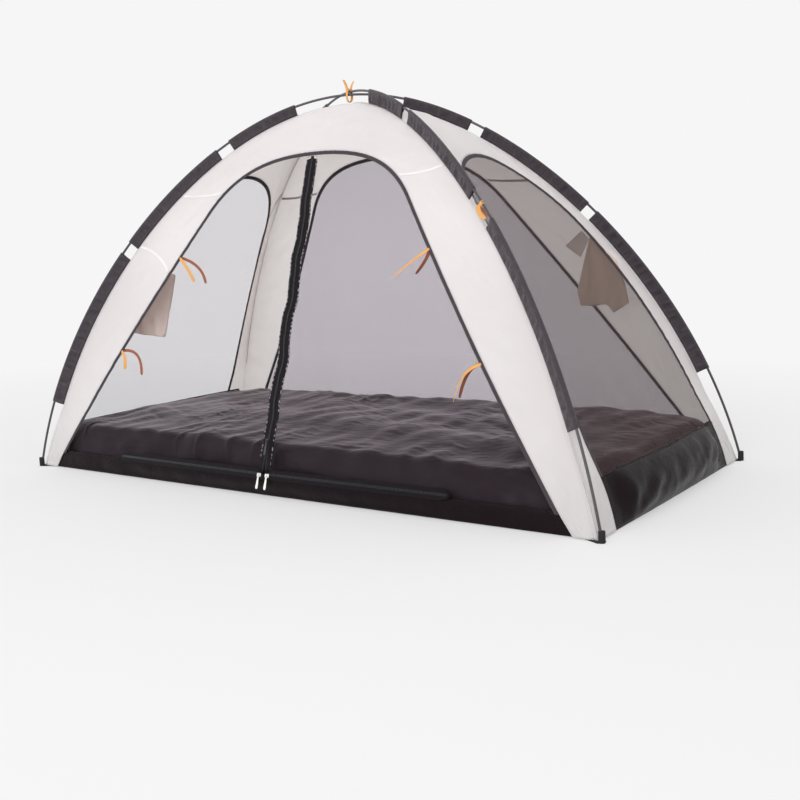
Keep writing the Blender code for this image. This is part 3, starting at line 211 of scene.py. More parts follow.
# Taped joins across each frame: name and share of the half width at the window and at the seam
STRIPS = {
    "front": (("left", -0.425, -0.381), ("right", 0.406, 0.356), ("left_low", -0.600, -0.512)),
    "back": (("left", -0.425, -0.390), ("right", 0.425, 0.390)),
    "left": (("left", -0.400, -0.370), ("right", 0.400, 0.370)),
    "right": (("left", -0.400, -0.370), ("right", 0.400, 0.370)),
}

# Sway of the zip: size, length and phase of each sideways wave, size and length of the outward one, and
# where it starts and ends
ZIP_SWAY = ((0.0032, 0.19, 0.6), (0.0012, 0.083, 0.0))
ZIP_SWAY_SHIFT = 0.0028
ZIP_SWAY_OUT = (0.0014, 0.17)
ZIP_SWAY_START = 0.11
ZIP_SWAY_END = 0.06
ZIP_SWAY_FADE = 0.1

# Door ribbons: side and height of the knot, then two stops of the ribbon outside the net and of the one
# inside it, each a step across, a step up and a lift off the net
RIBBON_PLACES = {
    "upper_left": (-1, 0.645, ((0.045, -0.036, 0.006), (0.083, -0.070, 0.012)),
                   ((0.068, -0.030, -0.010), (0.097, -0.078, -0.022))),
    "lower_left": (-1, 0.370, ((0.024, -0.022, 0.006), (0.034, -0.052, 0.010)),
                   ((0.058, -0.012, -0.010), (0.078, -0.072, -0.020))),
    "upper_right": (1, 0.645, ((-0.048, -0.030, 0.005), (-0.102, -0.068, 0.010)),
                    ((-0.016, -0.026, -0.012), (-0.050, -0.063, -0.022))),
    "lower_right": (1, 0.370, ((-0.045, -0.028, 0.006), (-0.064, -0.089, 0.012)),
                    ((-0.040, -0.022, -0.008), (-0.066, -0.084, -0.018))),
}

# Tails of the pole's ribbon: name, side, distance in from the pole and length
POLE_TAILS = (("outer", -1, 0.011, 0.048), ("inner", 1, 0.014, 0.036))

# Pockets: height of the top, then outlines of the free edge, the edge at the binding, the foot and the flap,
# each corner a step along the wall and a step down
POCKETS = {
    "right": (0.655, ((0, 0), (-0.020, 0.085), (-0.036, 0.158), (-0.029, 0.197)),
              ((0.065, 0.077), (0.082, 0.140), (0.091, 0.194)),
              ((-0.029, 0.197), (0.010, 0.199), (0.036, 0.196), (0.051, 0.221), (0.072, 0.208),
               (0.091, 0.194)),
              ((-0.062, 0.026), (-0.021, -0.014), (-0.003, 0.012), (-0.026, 0.061))),
    "left": (0.620, ((0, 0), (-0.050, 0.012), (-0.093, 0.030), (-0.080, 0.100), (-0.053, 0.222)),
             ((0.065, 0.077), (0.082, 0.140), (0.091, 0.200)),
             ((-0.053, 0.222), (-0.010, 0.213), (0.030, 0.204), (0.091, 0.198)),
             ((-0.078, 0.030), (-0.030, -0.016), (-0.003, 0.012), (-0.040, 0.082))),
}

# Studio
FLOOR_COLOR = (0.70, 0.70, 0.70)
FLOOR_SIZE = 60.0
FLOOR_DROP = 0.0005
FLOOR_SHARE = 0.45
FLOOR_STRETCH = (0.62, 1.0, 1.0)
FLOOR_FADE = (0.55, 2.6)
PALE = (0.921, 0.921, 0.921, 1.0)
SKY_COLOR = (1.0, 0.99, 0.99, 1.0)
SKY_STRENGTH = 0.98
LAMP_AIM = Vector((0.0, 0.0, 0.45))
LAMPS = (
    ("key", (1.3, -4.5, 1.9), 2.8, 92.0),
    ("fill", (-3.2, -2.8, 2.2), 2.6, 14.0),
    ("top", (0.2, 0.6, 3.8), 3.0, 6.0),
)

# The photograph's camera: place, directions to the right, down and ahead, and its lens in pixels
CAMERA_PLACE = (2.0140, -2.4995, 0.6901)
CAMERA_RIGHT = Vector((0.82048, 0.56963, -0.0482))
CAMERA_DOWN = Vector((0.02287, -0.11695, -0.99287))
CAMERA_AHEAD = Vector((-0.57121, 0.81354, -0.10899))
PICTURE_SIZE = 800
FOCAL_LENGTH = 1076.08
PICTURE_CENTRE = (434.36, 348.37)
SENSOR_WIDTH = 36.0

# How finely the cloth is drawn
DETAIL = 8
LEG_COLUMNS = 8 * DETAIL
CORNER_COLUMNS = 10 * DETAIL
SEAM_COLUMNS = POLE_SEGMENTS * DETAIL
PANEL_ROWS = 30
NET_ROWS = 41
DOOR_NET_ROWS = 81
DOOR_NET_COLUMNS = 41
SIDE_NET_ROWS = 17
TAPE_ROWS = 7
ZIP_STEPS = 241
SILL_STEPS = 121
FIXED_SILL_ROWS = 5
FIXED_SILL_STEPS = 61
COVER_COLUMNS = 321
COVER_ROWS = 201
SKIRT_STEPS = 97
SKIRT_BENDS = 16
SKIRT_ROWS = 15
SKIRT_LEVELS = 40
RIBBON_STEPS = 37
POCKET_COLUMNS = 29
POCKET_ROWS = 41
POCKET_FLAP_STEPS = 15

DIAGONAL = math.hypot(BASE_HALF_LENGTH, BASE_HALF_WIDTH)
ALONG_X = BASE_HALF_LENGTH / DIAGONAL
ALONG_Y = BASE_HALF_WIDTH / DIAGONAL
LOWER_CROWN = CROWN_HEIGHT - 2 * POLE_RADIUS - POLE_GAP
APEX_HEIGHT = CROWN_HEIGHT - SEAM_DROP

# Each pole: label, side of its back foot (1 right, -1 left) and height of its crown
POLES = (("a", 1, LOWER_CROWN), ("b", -1, CROWN_HEIGHT))


def bezier(points, count):
    """Points of a cubic curve through its first and last control point."""
    a, b, c, d = (np.array(point, dtype=float) for point in points)
    t = np.linspace(0.0, 1.0, count)[:, None]
    return (1 - t) ** 3 * a + 3 * t * (1 - t) ** 2 * b + 3 * t ** 2 * (1 - t) * c + t ** 3 * d


def lengths(points):
    """Distance along a line at each of its points."""
    steps = np.linalg.norm(np.diff(points, axis=0), axis=1)
    return np.concatenate(([0.0], np.cumsum(steps)))


def along(points, distances):
    """Points at distances along a line."""
    marks = lengths(points)
    return np.stack([np.interp(distances, marks, column) for column in points.T], axis=-1)


def evenly(points, segments):
    """The same line in equal steps."""
    return along(points, np.linspace(0.0, lengths(points)[-1], segments + 1))


def unit(vectors):
    """Vectors made one long."""
    return vectors / np.maximum(np.linalg.norm(vectors, axis=-1, keepdims=True), 1e-12)


def mixed(first, second, share):
    """A point part of the way from one to another."""
    return first * (1 - share) + second * share


def line_meet(first, second, third, fourth):
    """Where the flat line through two points meets the line through two others."""
    one, two = second - first, fourth - third
    cross = one[0] * two[1] - one[1] * two[0]
    gap = third - first
    return first + one * (gap[0] * two[1] - gap[1] * two[0]) / cross


def ridges(u, v, size, lean, spread, seed, count=12):
    """Smooth uneven ridges about one high: size apart, running along the angle lean."""
    chance = np.random.RandomState(seed)
    total = np.zeros(np.broadcast(u, v).shape)
    for _ in range(count):
        angle = lean + spread * chance.uniform(-1, 1)
        length = size * 2 ** chance.uniform(-0.8, 0.8)
        phase = chance.uniform(0, 2 * math.pi)
        across = v * math.cos(angle) - u * math.sin(angle)
        total = total + np.cos(2 * math.pi * across / length + phase)
    return total / math.sqrt(count)


def creases(u, v, size, lean, spread, seed):
    """Sharp thin folds, only in some places."""
    lines = 1 - np.minimum(np.abs(ridges(u, v, size, lean, spread, seed)) * 1.6, 1)
    places = np.clip(ridges(u, v, size * 3, lean + 1, 2, seed + 1), 0, 1)
    return lines * places


def wrinkles(u, v, layers, seed=0):
    """Sum of layers of relief: each has its shape, height, size, lean, spread and step of the seed."""
    return sum(height * shape(u, v, size, lean, spread, seed + step)
               for shape, height, size, lean, spread, step in layers)


# Relief of the cloths, as layers of wrinkles
ACROSS = math.pi / 2
CANOPY_WRINKLES = ((ridges, 0.0022, 0.13, 0.6, 1.2, 11), (creases, 0.0011, 0.11, 0.9, 1.4, 31),
                   (ridges, 0.0005, 0.035, 1.2, 1.0, 71))
CANOPY_PUCKERS = ((ridges, 0.0004, 0.016, ACROSS, 0.2, 51),)
CANOPY_GATHERS = ((ridges, 0.0011, 0.020, 0.1, 0.4, 61),)
BINDING_RIPPLE = ((ridges, 0.0005, 0.022, ACROSS, 0.3, 91),)
NET_WAVES = ((ridges, 0.0016, 0.16, 1.2, 1.0, 0), (ridges, 0.0006, 0.05, 1.4, 0.6, 5))
DOOR_NET_WAVES = ((ridges, 0.0022, 0.15, 1.3, 0.8, 131),)
SLEEVE_GATHERS = ((ridges, 0.0024, 0.030, ACROSS, 0.7, 0), (ridges, 0.0008, 0.012, ACROSS, 0.6, 1),
                  (creases, 0.0030, 0.026, 1.15, 0.25, 2))
COVER_FOLDS = ((ridges, 0.0042, 0.34, -0.40, 0.6, 301), (ridges, 0.0016, 0.14, 1.60, 0.6, 302),
               (creases, 0.0048, 0.21, 1.72, 0.30, 303), (creases, -0.0030, 0.19, -0.50, 0.30, 304),
               (creases, 0.0028, 0.10, -0.45, 0.50, 306), (ridges, 0.0003, 0.026, 0.9, 1.2, 305))
SKIRT_WAVES = ((ridges, 0.0016, 0.09, 0.8, 1.5, 401),)
SKIRT_RIPPLE = ((ridges, 0.0008, 0.03, 0.8, 1.5, 402),)
ROLL_FOLDS = ((ridges, 0.0030, 0.085, 0.25, 0.5, 403), (creases, 0.0030, 0.050, 0.3, 0.7, 404))
POCKET_FOLDS = ((ridges, 0.0035, 0.050, ACROSS, 0.35, 501),)


def pole_leg(crown, segments):
    """Half a pole from the crown to its foot, as reach from the middle and height."""
    foot_handle = (DIAGONAL - POLE_FOOT_HANDLE * math.cos(POLE_FOOT_ANGLE),
                   POLE_FOOT_HANDLE * math.sin(POLE_FOOT_ANGLE))
    curve = bezier(((0.0, crown), (POLE_CROWN_HANDLE, crown), foot_handle,
                    (DIAGONAL, POLE_TIP_HEIGHT)), 400)
    return evenly(curve, segments)


def seam_leg():
    """Half a seam, which follows the pole at the sleeve's width and closes in at the foot."""
    curve = pole_leg(CROWN_HEIGHT, SEAM_COLUMNS)
    tangent = unit(np.gradient(curve, axis=0))
    inward = np.stack((tangent[:, 1], -tangent[:, 0]), axis=1)
    taper = np.clip(curve[:, 1] / SEAM_TAPER_HEIGHT, 0.0, 1.0)
    drop = FOOT_SEAM_DROP + (SEAM_DROP - FOOT_SEAM_DROP) * taper
    seam = curve + inward * drop[:, None]
    seam[0] = (0.0, APEX_HEIGHT)
    seam[-1][1] = BASE_LIFT
    return seam


SEAM = seam_leg()


def seam_reach(height):
    """Reach of the seam from the middle, along its diagonal."""
    return np.interp(height, SEAM[::-1, 1], SEAM[::-1, 0])


def centre_line(top, sill, hem, straight_end):
    """Reach and height down the middle of a wall."""
    slope = unit(np.array(top) - np.array(sill))
    crown = bezier((top, top + slope * CANOPY_WALL_HANDLE, (CANOPY_TOP_HANDLE * top[0] / SIDE_TOP_REACH,
                    APEX_HEIGHT), (0.0, APEX_HEIGHT)), 60)
    bottom = np.array(sill) - slope * (sill[1] - straight_end) / slope[1]
    skirt = bezier((hem, (hem[0], straight_end / 3), bottom - slope * straight_end / 3, bottom), 20)
    line = np.concatenate((skirt, crown))
    return line[:, 0], line[:, 1]


class Wall:
    """One wall of the tent, described facing -Y: across is X, outward is -Y."""

    def __init__(self, name, turn, side):
        self.name = name
        self.side = side
        self.turn = np.array(Matrix.Rotation(math.radians(turn), 3, "Z"))
        self.half = BASE_HALF_LENGTH if side else BASE_HALF_WIDTH
        self.across_share = ALONG_X if side else ALONG_Y
        self.outward_share = ALONG_Y if side else ALONG_X
        self.net_bottom = SIDE_NET_BOTTOM if side else END_NET_BOTTOM
        self.window_top = SIDE_WINDOW_TOP if side else END_WINDOW_TOP
        if side:
            line = centre_line((SIDE_TOP_REACH, SIDE_WINDOW_TOP), (SIDE_SILL_REACH, SIDE_SILL_HEIGHT),
                               (SIDE_HEM_REACH, 0.0), SIDE_NET_BOTTOM)
        else:
            line = centre_line((END_TOP_REACH, END_WINDOW_TOP), (END_SILL_REACH, END_NET_BOTTOM),
                               (END_HEM_REACH, 0.0), END_NET_BOTTOM)
        self.reaches, self.heights = line
        self.outline = self.half_window()

    def half_window(self):
        """Half the window's edge, from its foot to the middle of its top."""
        def spot(shares):
            return (shares[0] * self.half, shares[1] * CROWN_HEIGHT)
        top = (0.0, self.window_top)
        if self.side:
            foot = np.array((SIDE_FOOT_SHARE * self.half, self.net_bottom))
            shoulder = np.array(spot(SIDE_SHOULDER_SHARES))
            handles = (foot + (shoulder - foot) / 3, shoulder - (shoulder - foot) / 3)
            corner = [spot(shares) for shares in SIDE_CORNER_SHARES]
        else:
            foot = (END_FOOT_SHARE * self.half, self.net_bottom)
            shoulder = spot(END_SHOULDER_SHARES)
            handles = [spot(shares) for shares in END_LEG_SHARES]
            corner = [spot(shares) for shares in END_CORNER_SHARES]
        corner[1] = (corner[1][0], self.window_top)
        leg = evenly(bezier((foot, *handles, shoulder), 200), LEG_COLUMNS)
        bend = evenly(bezier((shoulder, *corner, top), 200), CORNER_COLUMNS)
        return np.concatenate((leg, bend[1:]))

    def arch(self, inset, hem=False):
        """Window edge from left foot to right foot, moved out of the opening by inset."""
        half = self.outline
        tangent = np.gradient(half, axis=0)
        tangent[-1] = (-1.0, 0.0)
        tangent = unit(tangent)
        outward = np.stack((tangent[:, 1], -tangent[:, 0]), axis=1)
        moved = half + outward * inset
        moved[0] = half[0] + (inset / outward[0][0], 0.0)
        if hem:
            fall = tangent[0] * (moved[0][1] - BASE_LIFT) / tangent[0][1]
            steps = np.linspace(1.0, 0.0, 2 * DETAIL + 1)[:-1, None]
            moved = np.concatenate((moved[0] - fall * steps, moved))
        return np.concatenate((moved * (-1, 1), moved[:-1][::-1]))

    def seam(self):
        """The two seams beside the wall as one line from the left foot to the right foot."""
        half = np.stack((SEAM[:, 0] * self.across_share, SEAM[:, 1]), axis=1)
        return np.concatenate(((half * (-1, 1))[::-1], half[1:]))

    def reach(self, across, height):
        """How far out the wall stands at a place."""
        seam = seam_reach(height)
        middle = np.interp(height, self.heights, self.reaches)
        edge = seam * self.outward_share
        half_span = np.maximum(seam * self.across_share, 1e-6)
        share = np.minimum(np.abs(across) / half_span, 1.0)
        return edge - (edge - middle) * (1 - share ** 2)

    def place(self, flat, lift=0.0):
        """Points of the wall from their places across and up it, lift being a step outwards."""
        across, height = flat[..., 0], flat[..., 1]
        return np.stack((across, -(self.reach(across, height) + lift), height), axis=-1)

    def world(self, points):
        """The same points after the wall is turned to its side."""
        return points @ self.turn.T


FRONT = Wall("front", 0, True)
RIGHT = Wall("right", 90, False)
BACK = Wall("back", 180, True)
LEFT = Wall("left", -90, False)
WALLS = (FRONT, RIGHT, BACK, LEFT)


class Flap:
    """One flat triangle of the door: its corners and its own frame on the zip line."""

    def __init__(self, sign):
        self.sign = sign
        top_height = SIDE_WINDOW_TOP - BINDING_WIDTH / 2 - FOLD_GAP
        self.bottom, self.top, self.foot = FRONT.place(np.array((
            (0.0, SIDE_SILL_HEIGHT), (0.0, top_height), (sign * FLAP_FOOT, SIDE_SILL_HEIGHT))))
        self.up = unit(self.top - self.bottom)
        reach = self.foot - self.bottom
        self.side = unit(reach - self.up * self.up.dot(reach))
        normal = np.cross(self.up, reach)
        self.normal = unit(normal if normal[1] < 0 else -normal)
        self.length = np.linalg.norm(self.top - self.bottom)
        self.foot_uv = np.array((self.side.dot(reach), self.up.dot(reach)))
        self.top_uv = np.array((FLAP_TOP, self.length))

    def point(self, flat, lift=0.0):
        """Points of the flap from their distances from the zip and up it."""
        flat = np.asarray(flat, dtype=float)
        return (self.bottom + flat[..., :1] * self.side + flat[..., 1:2] * self.up
                + np.asarray(lift)[..., None] * self.normal)

    def sill(self, u, rise):
        """Flat points at distances u from the zip, a step above the sill line."""
        return np.stack((u, u * self.foot_uv[1] / self.foot_uv[0] + rise), axis=-1)

    def fold(self, share, inset):
        """Flat point on the fold line, moved into the flap by inset."""
        line = unit(self.top_uv - self.foot_uv)
        return mixed(self.foot_uv, self.top_uv, share) + np.array((-line[1], line[0])) * inset

    def fold_meet(self, inset, first, second):
        """Where the fold line, moved in by inset, meets the line through two flat points."""
        return line_meet(self.fold(0, inset), self.fold(1, inset), np.array(first), np.array(second))

    def corner(self, inset, rise):
        """Where it meets the sill line moved up by rise."""
        return self.fold_meet(inset, self.sill(0, rise), self.sill(1, rise))

    def fold_level(self, inset, v):
        """Where it reaches a height v up the zip."""
        return self.fold_meet(inset, (0.0, v), (1.0, v))

    def fold_at(self, inset, u):
        """Where it passes a distance u from the zip."""
        return self.fold_meet(inset, (u, 0.0), (u, 1.0))


FLAPS = {"left": Flap(-1), "right": Flap(1)}


class Nodes:
    """A node tree being built."""

    def __init__(self, tree):
        self.tree = tree

    def node(self, kind, inputs=None, **settings):
        """Add a node; inputs holds values or the sockets to link."""
        made = self.tree.nodes.new(kind)
        for name, value in settings.items():
            setattr(made, name, value)
        for name, value in (inputs or {}).items():
            self.plug(made.inputs[name], value)
        return made

    def plug(self, socket, value):
        """Link a socket, or set its value."""
        if isinstance(value, bpy.types.NodeSocket):
            self.tree.links.new(value, socket)
        else:
            socket.default_value = value

    def math(self, operation, first, second=0.0):
        """One step of arithmetic."""
        return self.node("ShaderNodeMath", {0: first, 1: second}, operation=operation).outputs[0]

    def seen(self):
        """One for rays from the camera, off a gloss or through a clear part, nought for other rays."""
        ray = self.node("ShaderNodeLightPath").outputs
        return self.math("MAXIMUM", self.math("MAXIMUM", ray["Is Camera Ray"], ray["Is Glossy Ray"]),
                         ray["Is Transmission Ray"])

    def surface(self, output, share, first, second):
        """End the tree in a mix of two shaders."""
        mix = self.node("ShaderNodeMixShader", {0: share, 1: first.outputs[0], 2: second.outputs[0]})
        self.plug(self.tree.nodes[output].inputs["Surface"], mix.outputs[0])


class Finish(Nodes):
    """A material being built from nodes."""

    def __init__(self, name, color, roughness, metallic=0.0):
        self.material = bpy.data.materials.new(name)
        self.material.use_nodes = True
        super().__init__(self.material.node_tree)
        self.shader = self.tree.nodes["Principled BSDF"]
        self.set("Base Color", (*color, 1.0))
        self.set("Roughness", roughness)
        self.set("Metallic", metallic)
        self.heights = []

    def set(self, name, value):
        """Set a socket of the shader, or link it."""
        self.plug(self.shader.inputs[name], value)

    def coordinates(self, source, scale=1.0):
        """Object coordinates, or a named UV map, times a scale."""
        if source == "Object":
            vector = self.node("ShaderNodeTexCoord").outputs["Object"]
        else:
            vector = self.node("ShaderNodeUVMap", uv_map=source).outputs[0]
        scales = scale if isinstance(scale, tuple) else (scale,) * 3
        return self.node("ShaderNodeMapping", {"Vector": vector, "Scale": scales}).outputs[0]

    def parts(self, source):
        """The same coordinates one by one."""
        return self.node("ShaderNodeSeparateXYZ", {0: self.coordinates(source)}).outputs

    def noise(self, vector, scale, detail=3.0, roughness=0.5):
        """Cloudy noise from nought to one."""
        return self.node("ShaderNodeTexNoise", {"Vector": vector, "Scale": scale, "Detail": detail,
                                                "Roughness": roughness}).outputs["Fac"]

    def wave(self, shape, value, length):
        """A sine or cosine of a value, repeated every length."""
        return self.math(shape, self.math("MULTIPLY", value, 2 * math.pi / length))

    def blend(self, share, first, second):
        """A colour between two."""
        return self.node("ShaderNodeMix", {0: share, 6: first, 7: second}, data_type="RGBA").outputs[2]

    def span(self, value, low, high, start=0.0, end=1.0):
        """A value moved from one range to another and kept inside it."""
        return self.node("ShaderNodeMapRange", {"Value": value, "From Min": low, "From Max": high,
                                                "To Min": start, "To Max": end}).outputs[0]

    def raised(self, height, distance):
        """Add a layer of relief."""
        self.heights.append((height, distance))

    def done(self, color, roughness=None):
        """Join the layers of relief and return the material."""
        self.set("Base Color", color)
        if roughness is not None:
            self.set("Roughness", roughness)
        normal = None
        for height, distance in self.heights:
            bump = self.node("ShaderNodeBump", {"Height": height, "Distance": distance, "Strength": 1.0})
            if normal is not None:
                self.plug(bump.inputs["Normal"], normal)
            normal = bump.outputs[0]
        if normal is not None:
            self.set("Normal", normal)
        return self.material


def shade(color, factor):
    """A lighter or darker version of a colour, as a socket value."""
    return tuple(min(part * factor, 1.0) for part in color) + (1.0,)


def threads(finish, pitch):
    """Plain weave as a height, one thread every pitch."""
    parts = finish.parts("cloth")
    return finish.math("MULTIPLY", *(finish.wave("SINE", parts[i], pitch) for i in (0, 1)))


def stitches(finish, source, offset, pitch=0.0032, half=0.0005):
    """A row of stitches at an offset from the edge where the UV map's second part is nought."""
    parts = finish.parts(source)
    away = finish.math("ABSOLUTE", finish.math("SUBTRACT", parts[1], offset))
    in_row = finish.math("LESS_THAN", away, half)
    step = finish.math("FRACT", finish.math("DIVIDE", parts[0], pitch))
    return finish.math("MULTIPLY", in_row, finish.math("LESS_THAN", step, STITCH_SHARE))


def fabric(name, color, roughness, pitch, variation=0.05, crinkle=0.0, crinkle_size=40.0, sheen=0.0,
           rows=(), thread_color=None, weave=0.00012, gloss=0.5, glow=0.0,
           tint=(1.0, 1.0, 1.0), fuzz=0.4, painted_glints=0.0, detail=5.0):
    """Woven cloth. Pitch is the thread's, weave and crinkle are depths of relief, rows are rows of stitches,
    glow is
    the light that the cloth lets through, and sheen, tint and fuzz make its nap. Streaks are painted
    highlights:
    lighter bands along fold-like noise that stand for glints."""
    made = Finish(name, color, roughness)
    places = made.coordinates("Object")
    base = made.blend(made.noise(places, 7.0, 4.0), shade(color, 1 - variation), shade(color, 1 + variation))
    weft = threads(made, pitch)
    if weave:
        made.raised(weft, weave)
    base = made.blend(made.span(weft, -1.0, 1.0, 0.0, 0.35), base, shade(color, 1 - 2 * variation))
    if crinkle:
        made.raised(made.noise(places, crinkle_size, detail, 0.6), crinkle)
    for source, offset in rows:
        row = stitches(made, source, offset)
        base = made.blend(row, base, (*(thread_color or color), 1.0))
        made.raised(row, STITCH_HEIGHT)
    # Painted highlights: the colour is lightened along stretched fold-like noise, standing for glints on the
    # folds
    if painted_glints:
        folds = made.noise(made.coordinates("cloth", (1.0, 0.30, 1.0)), 75.0, 5.0, 0.75)
        base = made.blend(made.span(folds, 0.52, 0.74), base, shade(color, 1 + painted_glints))
    made.set("Sheen Weight", sheen)
    made.set("Sheen Roughness", fuzz)
    made.set("Sheen Tint", (*tint, 1.0))
    made.set("Specular IOR Level", gloss)
    made.set("Subsurface Weight", glow)
    made.set("Subsurface Radius", GLOW_SPREAD)
    made.set("Subsurface Scale", GLOW_DEPTH)
    rough = made.span(made.noise(places, 30.0), 0.2, 0.8, roughness - 0.06, roughness + 0.06)
    return made.done(base, rough)


def net_finish(name, color, cover):
    """Fine hexagon net: threads with openings between them, seen as a thin haze from far off."""
    made = Finish(name, color, 0.85)
    parts = made.parts("cloth")
    total = None
    for angle in (0.0, math.pi / 3, -math.pi / 3):
        across = made.math("ADD", made.math("MULTIPLY", parts[0], math.cos(angle)),
                           made.math("MULTIPLY", parts[1], math.sin(angle)))
        wave = made.wave("COSINE", across, NET_PITCH)
        total = wave if total is None else made.math("ADD", total, wave)
    patches = made.noise(made.coordinates("Object"), 5.0, 2.0)
    made.raised(total, -NET_RELIEF)
    thread, opening = NET_COVER_SPAN
    made.set("Alpha", made.span(total, -1.5, 3.0, thread * cover, opening * cover))
    made.set("Specular IOR Level", 0.2)
    return made.done(made.blend(patches, shade(color, 0.92), shade(color, 1.08)))


def zip_tape_finish():
    """Ribbed black tape with light flecks where its outer edge is overlocked."""
    made = Finish("zip_tape", (0.006, 0.0045, 0.0065), 0.45)
    parts = made.parts("cloth")
    places = made.coordinates("Object")
    ribs = made.math("MULTIPLY", made.wave("SINE", parts[1], 0.0012), made.wave("SINE", parts[0], 0.0016))
    made.raised(ribs, 0.0003)
    row = stitches(made, "cloth", ZIP_WIDTH - 0.0018, pitch=0.0130, half=0.0014)
    flecks = made.math("GREATER_THAN", made.noise(places, 120.0, 1.0), 0.48)
    base = made.blend(made.noise(places, 90.0), (0.0035, 0.0025, 0.0040, 1.0), (0.012, 0.009, 0.012, 1.0))
    made.set("Specular IOR Level", 0.12)
    return made.done(made.blend(made.math("MULTIPLY", row, flecks), base, (0.42, 0.38, 0.41, 1.0)))


def solid_finish(name, color, roughness, metallic=0.0, coat=0.0, wear=0.12):
    """Hard finish with fine scratches and cloudy wear."""
    made = Finish(name, color, roughness, metallic)
    clouds = made.noise(made.coordinates("Object", (1.0, 1.0, 0.25)), 180.0, 4.0, 0.65)
    made.raised(clouds, 0.00006)
    made.set("Coat Weight", coat)
    rough = made.span(clouds, 0.3, 0.7, max(roughness - wear, 0.05), roughness + wear)
    return made.done(made.blend(clouds, shade(color, 0.85), shade(color, 1.15)), rough)


CANOPY = fabric("canopy_polyester", (0.90, 0.828, 0.822), 0.68, 0.0009, variation=0.02, crinkle=0.0012,
                crinkle_size=26.0, sheen=0.10, rows=(("cloth", 0.0035), ("seam", 0.004), ("seam", 0.009)),
                thread_color=(0.70, 0.65, 0.64), gloss=0.3, glow=0.5)
# Inside face of the same canopy cloth, lighter and warmer than the outside: painted light for the daylight
# that comes through the cloth
CANOPY_INSIDE_PAINTED_LIGHT = fabric("canopy_lining", (0.97, 0.80, 0.745), 0.75, 0.0009, variation=0.03, crinkle=0.0012,
                crinkle_size=26.0, rows=(("cloth", 0.0035), ("seam", 0.004)),
                thread_color=(0.66, 0.60, 0.57), gloss=0.3, glow=0.88)
STRIP = fabric("seam_strip_white", (0.93, 0.905, 0.90), 0.6, 0.0009, variation=0.02,
               rows=(("cloth", 0.0015), ("cloth", 0.0065)), thread_color=(0.75, 0.72, 0.7))
STRIP_INSIDE = fabric("seam_strip_taupe", (0.46, 0.40, 0.37), 0.7, 0.0009, variation=0.05,
                      rows=(("cloth", 0.0015), ("cloth", 0.0065)), thread_color=(0.6, 0.55, 0.5))
# Sleeve nylon, with lighter streaks as painted highlights for glints on its folds
SLEEVE = fabric("sleeve_nylon", (0.030, 0.021, 0.028), 0.36, 0.0008, variation=0.10, crinkle=0.0030,
                crinkle_size=55.0, sheen=0.10, rows=(("cloth", 0.004), ("cloth", 0.0075)),
                thread_color=(0.09, 0.075, 0.09), gloss=0.45, painted_glints=1.6)
BINDING = fabric("binding_tape", (0.044, 0.036, 0.043), 0.62, 0.0011, variation=0.12, crinkle=0.0006,
                 crinkle_size=120.0, sheen=0.05, rows=(("cloth", 0.0018), ("cloth", 0.0082)),
                 thread_color=(0.11, 0.10, 0.115), gloss=0.25)
BASE_NYLON = fabric("base_nylon", (0.0170, 0.0105, 0.0150), 0.40, 0.0008, variation=0.15, crinkle=0.0020,
                    crinkle_size=14.0, sheen=0.40, weave=0.0, gloss=0.10, tint=(1.0, 0.86, 0.95), fuzz=0.26,
                    detail=2.0)
SKIRT_NYLON = fabric("skirt_nylon", (0.0090, 0.0050, 0.0064), 0.26, 0.0008, variation=0.12, crinkle=0.0022,
                     crinkle_size=20.0, sheen=0.0, rows=(("cloth", 0.004), ("cloth", 0.009)),
                     thread_color=(0.03, 0.027, 0.03), weave=0.00001, gloss=0.08)
WEBBING = fabric("webbing", (0.024, 0.021, 0.025), 0.75, 0.0018, variation=0.2, weave=0.0004, gloss=0.2)
RIBBON = fabric("orange_ribbon", (0.87, 0.42, 0.10), 0.40, 0.0010, variation=0.07, sheen=0.15, weave=0.0002)
# The ribbon inside the net: the same orange ribbon darkened, as painted shade where it lies inside the net
RIBBON_PAINTED_SHADE = fabric("orange_ribbon_inner", (0.40, 0.115, 0.055), 0.45, 0.0010, variation=0.1, sheen=0.1,
                      weave=0.0002)
POCKET = fabric("pocket_cloth", (0.80, 0.61, 0.50), 0.8, 0.0012, variation=0.10, crinkle=0.002,
                crinkle_size=30.0, rows=(("cloth", 0.005),), thread_color=(0.56, 0.44, 0.38), glow=0.15)
# The left pocket's copy of the pocket cloth, made paler as painted light to lift the shade it hangs in
POCKET_PAINTED_LIGHT = fabric("pocket_cloth_pale", (0.92, 0.76, 0.70), 0.8, 0.0012, variation=0.08, crinkle=0.002,
                     crinkle_size=30.0, rows=(("cloth", 0.005),), thread_color=(0.62, 0.52, 0.46))
FLAP_CLOTH = fabric("pocket_flap_cloth", (0.72, 0.62, 0.57), 0.8, 0.0012, variation=0.06)
# One net, copied for each window with its colour set for the light there: the left copy lightened as painted
# light, the back, right and front copies darkened as painted shade
NETS = {
    "front": net_finish("net_front", (0.045, 0.033, 0.044), 0.032),
    "left": net_finish("net_left", (0.62, 0.46, 0.70), 0.15),
    "back": net_finish("net_back", (0.385, 0.26, 0.395), 0.33),
    "right": net_finish("net_right", (0.094, 0.058, 0.061), 0.32),
}
ZIP_TAPE = zip_tape_finish()
ZIP_TEETH = solid_finish("zip_teeth", (0.008, 0.0065, 0.0085), 0.25, coat=0.15)
FIBREGLASS = solid_finish("fibreglass", (0.040, 0.036, 0.042), 0.34, coat=0.3)
FERRULE = solid_finish("ferrule_steel", (0.10, 0.095, 0.10), 0.32, metallic=0.9)
BLACK_METAL = solid_finish("black_metal", (0.030, 0.028, 0.032), 0.32, metallic=0.5, coat=0.4)
BRIGHT_METAL = solid_finish("bright_metal", (0.80, 0.78, 0.75), 0.22, metallic=1.0, wear=0.08)


def row_marks(points):
    """Distance down each column of a grid of points, row by row."""
    steps = np.linalg.norm(np.diff(points, axis=0), axis=2)
    return np.concatenate((np.zeros((1, points.shape[1])), np.cumsum(steps, axis=0)))


